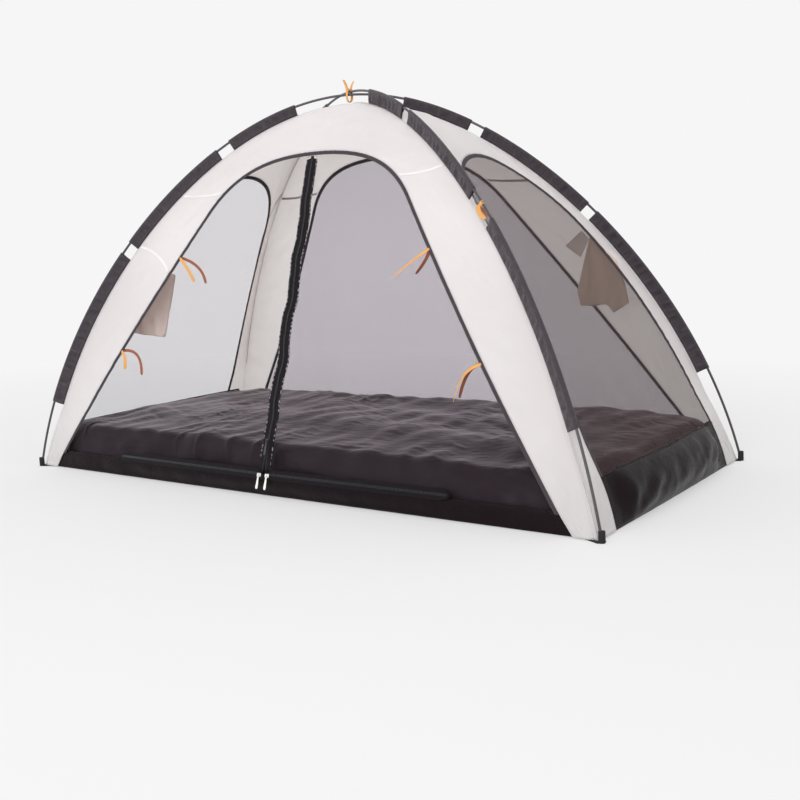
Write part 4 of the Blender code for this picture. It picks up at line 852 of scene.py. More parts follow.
def grid_mesh(name, points, around=False):
    """A mesh of quads over a grid of points. Its UV maps are in metres, along the rows and away from the
    first row (cloth) or the last one (seam)."""
    rows, columns = points.shape[:2]
    index = np.arange(rows * columns).reshape(rows, columns)
    looped = points
    if around:
        index = np.concatenate((index, index[:1]))
        looped = np.concatenate((points, points[:1]))
    first, second = slice(0, -1), slice(1, None)
    corners = ((first, first), (first, second), (second, second), (second, first))
    faces = np.stack([index[spot] for spot in corners], axis=-1).reshape(-1, 4)
    mesh = bpy.data.meshes.new(name)
    mesh.from_pydata(points.reshape(-1, 3).tolist(), [], faces.tolist())
    down = row_marks(looped)
    across = np.linalg.norm(np.diff(looped, axis=1), axis=2).mean(axis=0)
    u = np.broadcast_to(np.concatenate(([0.0], np.cumsum(across))), down.shape)
    for source, v in (("cloth", down), ("seam", down[-1][None, :] - down)):
        flat = np.stack([np.stack((u[spot], v[spot]), axis=-1) for spot in corners], axis=2)
        mesh.uv_layers.new(name=source).data.foreach_set("uv", flat.astype(np.float32).ravel())
    mesh.shade_smooth()
    return mesh


def dressed(item, finishes, body="tent", nodes=()):
    """Give a piece its finishes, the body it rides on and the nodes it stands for."""
    for finish in finishes:
        item.data.materials.append(finish)
    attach(item, body)
    if nodes:
        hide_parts(*nodes)
    return item


def piece(name, mesh, finishes, body="tent", nodes=()):
    """Put a finished mesh in the scene as a piece."""
    item = bpy.data.objects.new(name, mesh)
    bpy.context.scene.collection.objects.link(item)
    return dressed(item, finishes, body, nodes)


def modelled(item, name, finish, nodes=()):
    """Name a modelled part of a pole and make it a piece."""
    item.name = name
    item.data.name = name
    return dressed(item, [finish], nodes=nodes)


def cleaned(mesh, merge=True, dissolve=False):
    """Merge a mesh's doubled points, if asked for, and turn its faces outwards."""
    bm = bmesh.new()
    bm.from_mesh(mesh)
    if merge:
        bmesh.ops.remove_doubles(bm, verts=bm.verts, dist=1e-6)
    if dissolve:
        bmesh.ops.dissolve_limit(bm, angle_limit=math.radians(2), verts=bm.verts, edges=bm.edges)
    bmesh.ops.recalc_face_normals(bm, faces=bm.faces)
    bm.to_mesh(mesh)
    bm.free()


def normals(points):
    """Directions square to a grid of points."""
    return unit(np.cross(np.gradient(points, axis=1), np.gradient(points, axis=0)))


def outward_sign(points, centre=(0.0, 0.0, 0.3)):
    """1 if a grid's directions point away from a centre, -1 if they point towards it."""
    return np.sign(np.sum(normals(points) * (points - np.array(centre)), axis=-1).mean())


def outward_normals(points, centre=(0.0, 0.0, 0.3)):
    """The grid's directions, turned away from a centre."""
    return normals(points) * outward_sign(points, centre)


def thick(item, thickness, offset=0.0, has_inside_finish=False):
    """Give a sheet its thickness, with its second finish on its inside face if it has one."""
    shell = item.modifiers.new("thickness", "SOLIDIFY")
    shell.thickness = thickness
    shell.offset = offset
    shell.use_even_offset = True
    if has_inside_finish:
        shell.material_offset = 1


def facing_out(points):
    """The grid with its rows turned over if its faces would point inwards."""
    return points if outward_sign(points) > 0 else points[:, ::-1]


def cloth(name, points, finish, thickness, body="tent", nodes=(), inside_finish=None):
    """A thin sheet from a grid of points, with a second finish on its inside face if one is given."""
    finishes = [finish, inside_finish] if inside_finish else [finish]
    item = piece(name, grid_mesh(name, facing_out(points)), finishes, body, nodes)
    thick(item, thickness, has_inside_finish=inside_finish is not None)


def panel_grid(wall):
    """Points of a wall's cloth frame, from the binding to the seam."""
    outer = wall.seam()
    shares = np.linspace(0.0, 1.0, PANEL_ROWS + 1)[:, None, None]
    points = wall.place(mixed(wall.arch(BINDING_WIDTH / 2, hem=True), outer, shares))
    reach = np.abs(outer[:, 0]) * wall.outward_share / wall.across_share
    seam = np.stack((outer[:, 0], -reach, outer[:, 1]), axis=1)
    points[-1] = seam + unit(points[-2] - seam) * SEAM_MARGIN / 2
    return points


def canopy():
    """The four cream frames, tight between the binding and the seams, with light wrinkles."""
    for number, wall in enumerate(WALLS):
        points = panel_grid(wall)
        down = row_marks(points)
        width = down[-1]
        u = np.broadcast_to(lengths(points[PANEL_ROWS // 2]), down.shape)
        middle = np.sin(math.pi * down / width)
        edge = np.exp(-(width - down) / SEAM_PUCKER_REACH) + np.exp(-down / EDGE_PUCKER_REACH)
        relief = middle * wrinkles(u, down, CANOPY_WRINKLES, number)
        relief += edge * wrinkles(u, down, CANOPY_PUCKERS, number)
        foot = np.clip((GATHER_TOP - points[..., 2]) / GATHER_FADE, 0, 1) * middle
        relief += foot * (wrinkles(u, down, CANOPY_GATHERS, number) + GATHER_SWELL)
        low = np.clip((SKIRT_CLEARANCE - points[..., 2]) / SKIRT_CLEARANCE_FADE, 0, 1)
        relief = mixed(relief, np.maximum(relief, -SKIRT_CLEARANCE_SINK), low)
        relief[[0, -1]] = 0
        points = wall.world(points + outward_normals(points) * relief[..., None])
        # The inside face takes the lighter, warmer copy of the canopy cloth: painted light
        cloth(wall.name + "_canopy", points, CANOPY, CANOPY_THICKNESS, nodes=[wall.name + "_panel"],
              inside_finish=CANOPY_INSIDE_PAINTED_LIGHT)
        seam_strips(wall, points)


def seam_strips(wall, points):
    """Taped joins across the frame, white outside and taupe inside."""
    columns = points.shape[1] - 1
    half = columns // 2
    outward = outward_normals(points)
    spacing = np.linalg.norm(np.gradient(points, axis=1), axis=2)
    rows = np.arange(PANEL_ROWS + 1)
    for label, inner_share, outer_share in STRIPS[wall.name]:
        middle = half + mixed(inner_share, outer_share, rows / PANEL_ROWS) * half
        near = np.floor(middle).astype(int)
        for face, lift, finish in (("outer", STRIP_LIFT, STRIP), ("inner", -STRIP_LIFT, STRIP_INSIDE)):
            strip = []
            for edge in (-1, -0.33, 0.33, 1):
                spot = np.clip(middle + edge * STRIP_WIDTH / 2 / spacing[rows, near], 0, columns - 1)
                low = np.floor(spot).astype(int)
                here = mixed(points[rows, low], points[rows, low + 1], (spot - low)[:, None])
                strip.append(here + outward[rows, low] * lift)
            strip = np.array(strip)[:, 1:-1]
            cloth("_".join((wall.name, label, face, "strip")), strip, finish, STRIP_THICKNESS)


def bindings():
    """Charcoal tape folded over the edge of each window."""
    shares = np.linspace(-0.5, 0.5, TAPE_ROWS)
    crown = BINDING_CROWN * (1 - (2 * shares[:, None]) ** 2)
    for number, wall in enumerate(WALLS):
        points = np.array([wall.place(wall.arch(share * BINDING_WIDTH)) for share in shares])
        run = lengths(points[TAPE_ROWS // 2])[None, :]
        ripple = wrinkles(run, shares[:, None] * SECTION_RUN, BINDING_RIPPLE, number)
        out = outward_normals(points)
        front = points + out * (crown + ripple + BINDING_BODY)[..., None]
        back = points + out * (ripple - crown - BINDING_BODY)[..., None]
        ring = wall.world(np.concatenate((front, back[::-1])))
        tape = piece(wall.name + "_edge_tape", grid_mesh(wall.name, ring, around=True), [BINDING],
                     nodes=[wall.name + "_binding"])


def fixed_nets():
    """Net in the back and end windows, from the binding down to the sill."""
    for number, wall in enumerate((RIGHT, BACK, LEFT)):
        edge = wall.arch(NET_TUCK - BINDING_WIDTH / 2)
        across = np.linspace(edge[0][0], edge[-1][0], len(edge))
        foot = np.stack((across, np.full(len(edge), wall.net_bottom)), axis=1)
        shares = np.linspace(0.0, 1.0, NET_ROWS)[:, None, None]
        points = wall.world(net_relief(wall.place(mixed(edge, foot, shares)), 111 + number))
        cloth(wall.name + "_window_net", points, NETS[wall.name], NET_THICKNESS, nodes=[wall.name + "_net"])


def net_relief(points, seed):
    """The same net, a little uneven as it hangs."""
    rows, columns = points.shape[:2]
    fade = np.sin(math.pi * np.linspace(0, 1, rows))[:, None] * np.ones(columns)
    relief = fade * wrinkles(points[..., 0], points[..., 2], NET_WAVES, seed)
    return points + normals(points) * relief[..., None]


def zip_sway(v):
    """How far the zip strays sideways and outwards at a height up it."""
    length = FLAPS["left"].length
    fade = (np.clip((v - ZIP_SWAY_START) / ZIP_SWAY_FADE, 0, 1)
            * np.clip((length - ZIP_SWAY_END - v) / ZIP_SWAY_FADE, 0, 1))
    aside = sum(size * np.sin(2 * math.pi * v / step + phase) for size, step, phase in ZIP_SWAY)
    size, step = ZIP_SWAY_OUT
    return fade * (aside - ZIP_SWAY_SHIFT), size * fade * np.sin(2 * math.pi * v / step)


def strand_root(v):
    """Distance of the zip's toothed edge from the middle, wider where the two strands part."""
    return SLIT / 2 + STRAND_PART * np.clip(1 - v / JUNCTION_RISE, 0, 1)


def door_nets():
    """The two nets of the door, from the zip tape to the fold line."""
    inner = TAPE_WIDTH + SLIT / 2 - NET_TUCK
    rows = np.linspace(0, 1, DOOR_NET_ROWS)[:, None]
    columns = np.linspace(0, 1, DOOR_NET_COLUMNS)[None, :]
    fade = np.sin(math.pi * columns) * np.sin(math.pi * rows)
    for label, flap in FLAPS.items():
        body = "door_" + label
        top, top_out = np.array((inner, flap.length)), flap.fold_level(DOOR_NET_INSET, flap.length)
        if top_out[0] < inner:
            top = top_out = flap.fold_at(DOOR_NET_INSET, inner)
        near = mixed(flap.sill(inner, inner), top, rows[..., None])
        far = mixed(flap.corner(DOOR_NET_INSET, inner), top_out, rows[..., None])
        flat = mixed(near, far, columns[..., None])
        aside, out = zip_sway(flat[..., 1])
        flat[..., 0] -= aside * (1 - columns) * flap.sign
        relief = fade * wrinkles(flat[..., 0], flat[..., 1], DOOR_NET_WAVES, flap.sign)
        points = flap.point(flat, relief + out * (1 - columns))
        cloth(body + "_mesh", points, NETS["front"], NET_THICKNESS, body=body, nodes=[body + "_net"])


def side_nets():
    """Fixed net between the binding and the fold line, on both sides of the door."""
    edge = FRONT.arch(NET_TUCK - BINDING_WIDTH / 2)
    count = (len(edge) + 1) // 2
    foot = DETAIL // 2
    rows = np.linspace(0, 1, SIDE_NET_ROWS)[:, None, None]
    for label, flap in FLAPS.items():
        outline = edge[:count] * (-flap.sign, 1)
        marks = lengths(outline)
        shares = np.maximum((marks - marks[foot]) / (marks[-1] - marks[foot]), 0.0)
        inside = flap.point(np.array([flap.fold(share, SIDE_NET_INSET) for share in shares]))
        inside[:foot, 2] = mixed(SIDE_NET_BOTTOM, inside[0, 2], marks[:foot] / marks[foot])
        points = net_relief(mixed(FRONT.place(outline), inside, rows), 151 + flap.sign)
        name = "front_" + label
        cloth(name + "_mesh", points, NETS["front"], NET_THICKNESS, nodes=[name + "_net"])


def tooth_template():
    """One tooth of the zip, a small block with its edges taken off."""
    bpy.ops.object.select_all(action="DESELECT")
    bpy.ops.mesh.primitive_cube_add(size=1.0, location=(0.0, 0.0, 0.0))
    item = bpy.context.object
    item.scale = TOOTH_SIZE
    bpy.ops.object.transform_apply(scale=True)
    bpy.ops.object.mode_set(mode="EDIT")
    bpy.ops.mesh.select_all(action="SELECT")
    bpy.ops.mesh.bevel(offset=TOOTH_BEVEL, segments=1, affect="EDGES")
    bpy.ops.object.mode_set(mode="OBJECT")
    points = np.array([vertex.co for vertex in item.data.vertices])
    faces = [tuple(face.vertices) for face in item.data.polygons]
    bpy.data.objects.remove(item)
    return points, faces


def teeth(name, template, frames, body="tent"):
    """Many teeth as one piece; each frame is a tooth's place and its three directions."""
    points, faces = template
    spots, sides = [], []
    for number, (origin, *turn) in enumerate(frames):
        spots.append(origin + points @ np.array(turn))
        sides += [tuple(corner + number * len(points) for corner in face) for face in faces]
    mesh = bpy.data.meshes.new(name)
    mesh.from_pydata(np.concatenate(spots).tolist(), [], sides)
    cleaned(mesh, merge=False)
    piece(name, mesh, [ZIP_TEETH], body)


def upright_teeth(flap, phase):
    """Frames of a flap's teeth up the zip, in a straight row above the place where the strands part."""
    frames = []
    for height in np.arange(ZIP_TEETH_START + phase, flap.length - ZIP_TEETH_END, TOOTH_PITCH):
        aside, out = zip_sway(height)
        root = 0.0 if height > JUNCTION_RISE else strand_root(height)
        spot = flap.point((root + TOOTH_REACH - aside * flap.sign, height), out)
        frames.append((spot, flap.side, flap.up, np.cross(flap.side, flap.up)))
    return frames


def sill_teeth(flap, rise, phase):
    """Frames of the teeth along the sill, a rise above its line."""
    sill = flap.foot - flap.bottom
    flow = unit(sill)
    up = unit(flap.up - flow * flap.up.dot(flow))
    stops = np.arange(SILL_TEETH_START + phase, np.linalg.norm(sill) - SILL_TEETH_END, TOOTH_PITCH)
    return [(flap.bottom + flow * stop + up * rise, up, flow, np.cross(up, flow)) for stop in stops]


def sill_width(u, end):
    """Share of the sill tape's width at a distance from the middle, rounded off at its end."""
    return np.sqrt(np.clip((end - u) / SILL_ROUNDING, 0.02, 1.0))


def upright_tape(body, flap):
    """A flap's tape up the zip, narrowed at its top and scalloped along its outer edge."""
    outer = ZIP_WIDTH + SLIT / 2
    heights = np.linspace(ZIP_TAPE_START, flap.length, ZIP_STEPS)
    narrow = flap.fold_level(FOLD_GAP, flap.length)[0] < outer
    edge_top = flap.fold_at(FOLD_GAP, outer)[1] if narrow else flap.length
    width = np.where(heights > edge_top, np.clip((flap.length - heights) / ZIP_NARROWING, 0.25, 1.0), 1.0)
    root = strand_root(heights)
    aside, out = zip_sway(heights)
    size, step = ZIP_SCALLOP
    rows = []
    for share in np.linspace(0, 1, TAPE_ROWS):
        scallop = size * np.sin(2 * math.pi * heights / step) * (share == 1.0)
        u = root + (outer - root) * share * width + scallop - aside * flap.sign
        rows.append(flap.point(np.stack((u, heights), axis=1), out))
    cloth(body + "_tape", np.array(rows), ZIP_TAPE, TAPE_THICKNESS, body=body, nodes=[body + "_zip"])


def flap_sill_tape(body, flap):
    """A flap's tape along the sill, kept inside the fold line."""
    end = flap.corner(FOLD_GAP, SLIT / 2)[0]
    distances = np.linspace(strand_root(0.0) + SILL_TAPE_START, end - SILL_TAPE_END, SILL_STEPS)
    rows = []
    for share in np.linspace(0, 1, TAPE_ROWS):
        flat = flap.sill(distances, SLIT / 2 + SILL_WIDTH * share * sill_width(distances, end))
        flat[:, 0] = np.minimum(flat[:, 0], [flap.fold_level(FOLD_GAP, v)[0] for v in flat[:, 1]])
        rows.append(flap.point(flat))
    cloth(body + "_sill_tape", np.array(rows), ZIP_TAPE, TAPE_THICKNESS, body=body)


def fixed_sill_tape():
    """The fixed half of the sill zip, under both flaps."""
    rows = []
    for share in np.linspace(0, 1, FIXED_SILL_ROWS):
        line = []
        for flap in FLAPS.values():
            end = flap.corner(-DOOR_NET_INSET, 0.0)[0] - FOLD_GAP
            steps = np.linspace(0, end, FIXED_SILL_STEPS)
            steps = steps[::-1] if flap.sign < 0 else steps[1:]
            flat = flap.sill(steps, -SLIT / 2 - SILL_TAPE_WIDTH * share * sill_width(steps, end))
            line.append(flap.point(flat))
        rows.append(np.concatenate(line))
    cloth("sill_tape", np.array(rows), ZIP_TAPE, TAPE_THICKNESS, nodes=["sill_zip_tape"])


def zips():
    """Each flap's tapes with their teeth, up the middle and along the sill, and the sill's fixed half."""
    template = tooth_template()
    fixed = []
    for label, flap in FLAPS.items():
        body = "door_" + label
        phases = (0.0, TOOTH_PITCH / 2) if flap.sign < 0 else (TOOTH_PITCH / 2, 0.0)
        upright_tape(body, flap)
        flap_sill_tape(body, flap)
        frames = upright_teeth(flap, phases[0]) + sill_teeth(flap, TOOTH_REACH, phases[0])
        teeth(body + "_teeth", template, frames, body)
        fixed += sill_teeth(flap, -SILL_TOOTH_DROP, phases[1])
    fixed_sill_tape()
    teeth("sill_teeth", template, fixed)


def pole_axis(across, crown):
    """Centre line of a whole pole from its front foot to its back foot."""
    leg = pole_leg(crown, POLE_SEGMENTS * 6)
    back = np.stack((across * leg[:, 0] * ALONG_X, leg[:, 0] * ALONG_Y, leg[:, 1]), axis=1)
    return np.concatenate((back[::-1] * (-1, -1, 1), back[1:]))


def pole_line(crown):
    """Centre line of a whole pole in its own upright plane, from front to back."""
    leg = pole_leg(crown, SEAM_COLUMNS)
    return np.concatenate((leg[::-1] * (-1, 1), leg[1:]))


def station(line, distance):
    """Place on a pole's line, and the line's lean there away from upright."""
    spot = along(line, distance)
    flow = along(line, distance + FLOW_REACH) - along(line, distance - FLOW_REACH)
    return Vector((spot[0], 0.0, spot[1])), math.atan2(flow[0], flow[1])


def edit(item):
    """Go into edit mode on one object with all of it selected."""
    bpy.ops.object.select_all(action="DESELECT")
    item.select_set(True)
    bpy.context.view_layer.objects.active = item
    bpy.ops.object.mode_set(mode="EDIT")
    bpy.ops.mesh.select_all(action="SELECT")


def settled(item, turn=0.0):
    """Leave edit mode, turn the piece about the upright and apply its place to its mesh."""
    bpy.ops.mesh.select_all(action="SELECT")
    bpy.ops.mesh.normals_make_consistent(inside=False)
    bpy.ops.object.mode_set(mode="OBJECT")
    bpy.ops.object.transform_apply(location=True, rotation=True, scale=True)
    if turn:
        item.rotation_euler.z = turn
        bpy.ops.object.transform_apply(location=True, rotation=True, scale=True)
    bpy.ops.object.shade_smooth_by_angle(angle=math.radians(40))


def rod(name, line, start, end, turn, nodes):
    """A fibreglass rod drawn out from a disc, ring by ring, along a pole's line."""
    count = int((end - start) / ROD_STEP) + 2
    size = POLE_RADIUS - ROD_ROUNDING
    profile = [(start + ROD_ROUNDING, POLE_RADIUS)]
    profile += [(stop, POLE_RADIUS) for stop in np.linspace(start + 0.01, end - 0.01, count)]
    profile += [(end - ROD_ROUNDING, POLE_RADIUS), (end, size)]
    spot, lean = station(line, start)
    bpy.ops.object.select_all(action="DESELECT")
    bpy.ops.mesh.primitive_circle_add(vertices=16, radius=size, fill_type="NGON", location=spot,
                                      rotation=(0.0, lean, 0.0))
    item = bpy.context.object
    edit(item)
    for distance, radius in profile:
        next_spot, next_lean = station(line, distance)
        bpy.ops.mesh.extrude_region_move(TRANSFORM_OT_translate={"value": next_spot - spot})
        bpy.ops.transform.rotate(value=lean - next_lean, orient_axis="Y", center_override=next_spot)
        if radius != size:
            bpy.ops.transform.resize(value=(radius / size,) * 3, center_override=next_spot)
        spot, lean, size = next_spot, next_lean, radius
    settled(item, turn)
    modelled(item, name, FIBREGLASS, nodes)


def ferrule_shape():
    """One steel ferrule along Z: a tube drawn in beyond a rolled lip at both ends."""
    depth = FERRULE_LENGTH - 2 * FERRULE_TAPER
    bpy.ops.object.select_all(action="DESELECT")
    bpy.ops.mesh.primitive_cylinder_add(vertices=20, radius=FERRULE_RADIUS, depth=depth)
    item = bpy.context.object
    edit(item)
    for side in (1, -1):
        bpy.ops.mesh.select_all(action="DESELECT")
        bpy.ops.object.mode_set(mode="OBJECT")
        for face in item.data.polygons:
            face.select = face.normal.z * side > 0.9
        bpy.ops.object.mode_set(mode="EDIT")
        height = depth / 2
        for rise, factor in FERRULE_LIP:
            bpy.ops.mesh.extrude_region_move(TRANSFORM_OT_translate={"value": (0.0, 0.0, side * rise)})
            height += rise
            bpy.ops.transform.resize(value=(factor, factor, 1.0), center_override=(0.0, 0.0, side * height))
    settled(item)
    return item


def poles():
    """Two poles of three rods each, with the steel ferrules that join them."""
    shape = ferrule_shape()
    inner, joint, outer = (JOINT_SPACING * (i + 0.5) for i in range(3))
    for label, across, crown in POLES:
        line = pole_line(crown)
        total = lengths(line)[-1]
        middle = total / 2
        turn = math.atan2(ALONG_Y, across * ALONG_X)
        for part, start, end in (("front", 0.0, middle - joint), ("crown", middle - joint, middle + joint),
                                 ("back", middle + joint, total)):
            rod("rod_" + label + "_" + part, line, start, end, turn, ["pole_" + label + "_" + part])
        for number, distance in enumerate((-outer, -joint, -inner, inner, joint, outer), start=1):
            spot, lean = station(line, middle + distance)
            copy = bpy.data.objects.new("ferrule", shape.data.copy())
            bpy.context.scene.collection.objects.link(copy)
            copy.data.transform(Matrix.Rotation(turn, 4, "Z") @ Matrix.Translation(spot)
                                @ Matrix.Rotation(lean, 4, "Y"))
            modelled(copy, "ferrule_" + label + "_" + str(number), FERRULE)
    bpy.data.objects.remove(shape)


def sleeve_drop(centre, inward, direction):
    """Distance from the pole to the seam, in the pole's own plane."""
    reach = abs(np.dot(centre, direction))
    step = np.array((np.dot(inward, direction) * np.sign(np.dot(centre, direction)), inward[2]))
    low, high = 0.0, 2 * SEAM_DROP
    for _ in range(24):
        middle = (low + high) / 2
        spot = np.array((reach, centre[2])) + step * middle
        if spot[0] > seam_reach(spot[1]):
            low = middle
        else:
            high = middle
    return low


def sleeves():
    """Nylon sleeves that lie flat against the seam, with the pole in their outer edge."""
    for label, across, crown in POLES:
        axis = pole_axis(across, crown)
        marks = lengths(axis)
        middle = marks[-1] / 2
        direction = np.array((across * ALONG_X, ALONG_Y, 0.0))
        reaches = np.abs(axis @ direction)
        for end, sign in (("front", -1), ("back", 1)):
            half = (marks - middle) * sign >= -1e-9
            order = np.argsort(reaches[half])
            for number, span in enumerate(SLEEVE_SPAN_SHARES[label + "_" + end], start=1):
                first, last = np.interp(np.array(span) * DIAGONAL, reaches[half][order],
                                        np.abs(marks[half] - middle)[order])
                stops = np.linspace(first, last, int((last - first) / SLEEVE_STEP))
                name = "_".join(("sleeve", label, end, str(number)))
                seed = 200 + len(name) * 7 + number * 13 + (sign + 1) * 3 + ord(label)
                points = sleeve_grid(axis, middle + sign * stops, direction, seed)
                item = piece(name + "_cloth", grid_mesh(name, points, around=True), [SLEEVE], nodes=[name])
                thick(item, SLEEVE_THICKNESS, offset=-1.0)


def sleeve_grid(axis, distances, direction, seed):
    """Points of one sleeve: a drop-shaped section, gathered into fine folds across its length."""
    side = np.array((-direction[1], direction[0], 0.0))
    runs = np.abs(distances - distances[0])
    ends = np.clip(np.minimum(runs, runs[-1] - runs) / SLEEVE_END_REACH, 0, 1)
    angles = np.linspace(math.pi / 2, 3 * math.pi / 2, 9)
    bead = SLEEVE_RADIUS * np.stack((np.cos(angles), np.sin(angles)), axis=1)
    columns = []
    for distance, run, end in zip(distances, runs, ends):
        centre = along(axis, distance)
        tangent = unit(along(axis, distance + FLOW_REACH) - along(axis, distance - FLOW_REACH))
        inward = np.cross(side, tangent)
        inward = -inward if inward[2] > 0 else inward
        drop = sleeve_drop(centre, inward, direction) - SEAM_MARGIN / 2
        tail = np.array([(drop * share, mixed(SLEEVE_RADIUS * 0.9, SLEEVE_FLAT, share ** 0.7))
                         for share in (1.0, 0.8, 0.6, 0.42, 0.24)])
        flat = np.concatenate((tail, bead, tail[::-1] * (1, -1)))
        level = flat[:, 0] / drop
        body = np.sin(math.pi * np.clip(level, 0, 1)) ** 0.6
        swell = wrinkles(run, level * SECTION_RUN, SLEEVE_GATHERS, seed) * body
        flat[:, 1] = flat[:, 1] * (0.75 + 0.25 * end) + np.where(flat[:, 1] >= 0, swell, swell * 0.8)
        columns.append(centre + inward * flat[:, :1] + side * flat[:, 1:])
    points = np.array(columns).transpose(1, 0, 2)
    return points[::-1] if np.linalg.det(np.array((tangent, inward, side))) > 0 else points


def rounded(a, b, power):
    """Share of a direction at which it leaves a unit square with rounded corners."""
    return (np.abs(a) ** power + np.abs(b) ** power) ** (-1 / power)


def cover_side(turn):
    """Inset and height down the cover's side, turn going from the top to the hem."""
    angle = math.pi / 2 * np.minimum(turn / COVER_BEND_SHARE, 1)
    fall = np.clip((turn - COVER_BEND_SHARE) / (1 - COVER_BEND_SHARE), 0, 1)
    low = COVER_TOP - COVER_SHOULDER_HEIGHT
    height = low + COVER_SHOULDER_HEIGHT * np.cos(angle) + (BASE_LIFT - low) * fall
    return COVER_SHOULDER * (1 - np.sin(angle)), height


def base_cover():
    """The dark fitted cover over the base, pulled into long soft folds."""
    u, v = np.meshgrid(np.linspace(-1, 1, COVER_COLUMNS), np.linspace(-1, 1, COVER_ROWS))
    rank = np.maximum(np.maximum(np.abs(u), np.abs(v)), 1e-9)
    a, b = u / rank, v / rank
    pull = rounded(np.maximum(np.abs(a), 1e-3), np.maximum(np.abs(b), 1e-3), COVER_CORNER_POWER)
    scale = np.minimum(rank / COVER_TOP_SHARE, 1.0)
    pull = pull * (rank > 1e-8) * scale
    inset, height = cover_side(np.clip((rank - COVER_TOP_SHARE) / (1 - COVER_TOP_SHARE), 0, 1))
    points = np.stack((a * pull * (COVER_HALF_LENGTH - inset), b * pull * (COVER_HALF_WIDTH - inset),
                       height + COVER_CROWN * (1 - scale ** 2)), axis=-1)
    x, y, z = np.moveaxis(points, -1, 0)
    run = y + COVER_SIDE_RUN * (COVER_TOP + np.maximum(COVER_TOP - z, 0) * np.sign(y))
    top = np.clip((z - COVER_TOP_START) / COVER_FADE, 0, 1)
    relief = np.clip(wrinkles(x, run, COVER_FOLDS) - COVER_SIDE_SINK * (1 - top), *COVER_RELIEF)
    relief = relief * np.clip((z - BASE_LIFT) / COVER_FADE, 0, 1)
    relief = np.minimum(relief, COVER_SIDE_RELIEF + COVER_TOP_RELIEF * top)
    points = points + outward_normals(points, (0.0, 0.0, 0.0)) * relief[..., None]
    cloth("base_cover_cloth", points, BASE_NYLON, COVER_THICKNESS, nodes=["base_cover"])


def cover_edge(outside):
    """Points just clear of the cover's wall, towards points outside it."""
    pull = rounded(outside[:, 0] / (COVER_HALF_LENGTH + HEM_CLEARANCE),
                   outside[:, 1] / (COVER_HALF_WIDTH + HEM_CLEARANCE), HEM_CORNER_POWER)
    return np.concatenate((outside[:, :2] * pull[:, None], outside[:, 2:]), axis=1)


def skirt_spots(wall, height, shares):
    """Points just inside a wall at one height, at shares of half its width."""
    span = float(seam_reach(height)) * wall.across_share
    inset = SKIRT_INSET + (SKIRT_SAG * (1 - shares ** 2) if wall is FRONT else 0.0)
    return wall.world(wall.place(np.stack((shares * span, np.full(len(shares), height)), axis=1), -inset))


def skirt_line(height):
    """Closed line round the base at one height, just inside the walls."""
    shares = SKIRT_CORNER_SHARE * np.sin(np.linspace(-math.pi / 2, math.pi / 2, SKIRT_STEPS))
    line = []
    for wall, following in zip(WALLS, WALLS[1:] + WALLS[:1]):
        side = skirt_spots(wall, height, shares)
        start, end = side[-1], skirt_spots(following, height, shares[:1])[0]
        corner = np.array([max(start[i], end[i], key=abs) for i in range(2)] + [height])
        handles = (mixed(start, corner, SKIRT_HANDLE_SHARE), mixed(end, corner, SKIRT_HANDLE_SHARE))
        line += [side, bezier((start, *handles, end), SKIRT_BENDS + 1)[1:-1]]
    return np.concatenate(line)


def skirt_grid():
    """Points of the skirt from its foot up to the nets, which start lower at the sides than at the ends."""
    sides, ends = SIDE_NET_BOTTOM + SKIRT_LAP, END_NET_BOTTOM + SKIRT_LAP
    levels = np.linspace(BASE_LIFT, max(sides, ends), SKIRT_LEVELS)
    lines = np.array([skirt_line(level) for level in levels])
    spots = np.arange(lines.shape[1])
    order, step = np.divmod(spots, SKIRT_STEPS + SKIRT_BENDS - 1)
    climb = np.maximum(0, step - (SKIRT_STEPS - 1)) / SKIRT_BENDS
    at_side = order % 2 == 0
    tops = mixed(np.where(at_side, sides, ends), np.where(at_side, ends, sides), climb)
    wanted = BASE_LIFT + (tops - BASE_LIFT) * np.linspace(0, 1, SKIRT_ROWS)[:, None]
    low = np.searchsorted(levels, wanted).clip(1, len(levels) - 1) - 1
    part = (wanted - levels[low]) / (levels[low + 1] - levels[low])
    return mixed(lines[low, spots], lines[low + 1, spots], part[..., None])


def skirt():
    """Dark nylon band round the base, gathered at the corners, with its hem under the cover."""
    points = skirt_grid()
    share = np.linspace(0, 1, SKIRT_ROWS)[:, None]
    flow = unit(np.roll(points, -1, axis=1) - np.roll(points, 1, axis=1))
    out = np.stack((flow[..., 1], -flow[..., 0], np.zeros(flow.shape[:2])), axis=-1)
    marks = lengths(np.concatenate((points[0], points[0, :1])))
    angle, radius = 2 * math.pi * marks[None, :-1] / marks[-1], marks[-1] / (2 * math.pi)
    u, w = radius * np.cos(angle), radius * np.sin(angle)
    relief = wrinkles(u, w + share * SKIRT_RISE, SKIRT_WAVES) + wrinkles(u, w, SKIRT_RIPPLE)
    fade = np.sin(math.pi * np.clip(share, *SKIRT_FADE_SHARES))
    relief = np.clip(relief, *SKIRT_RELIEF) * fade - SKIRT_SINK
    x, y, z = np.moveaxis(points, -1, 0)
    is_end = np.abs(x) > np.abs(y) * BASE_HALF_LENGTH / BASE_HALF_WIDTH
    roll = np.clip((ROLL_REACH - np.abs(y)) / ROLL_FADE, 0, 1)
    roll = roll ** 2 * (3 - 2 * roll) * is_end * np.sin(math.pi * share ** 1.25) ** 0.8
    relief = relief + roll * (ROLL_DEPTH + wrinkles(y, z, ROLL_FOLDS))
    points = points + out * relief[..., None]
    edge = cover_edge(points[0] - out[0] * HEM_STEP)
    rows = np.concatenate(([edge, mixed(edge, points[0], 0.5)], points))
    rows = np.concatenate((rows, rows[:, :1]), axis=1)[:, ::-1]
    mesh = grid_mesh("base_skirt_cloth", rows)
    cleaned(mesh)
    item = piece("base_skirt_cloth", mesh, [SKIRT_NYLON], nodes=["base_skirt"])
    thick(item, SKIRT_THICKNESS)


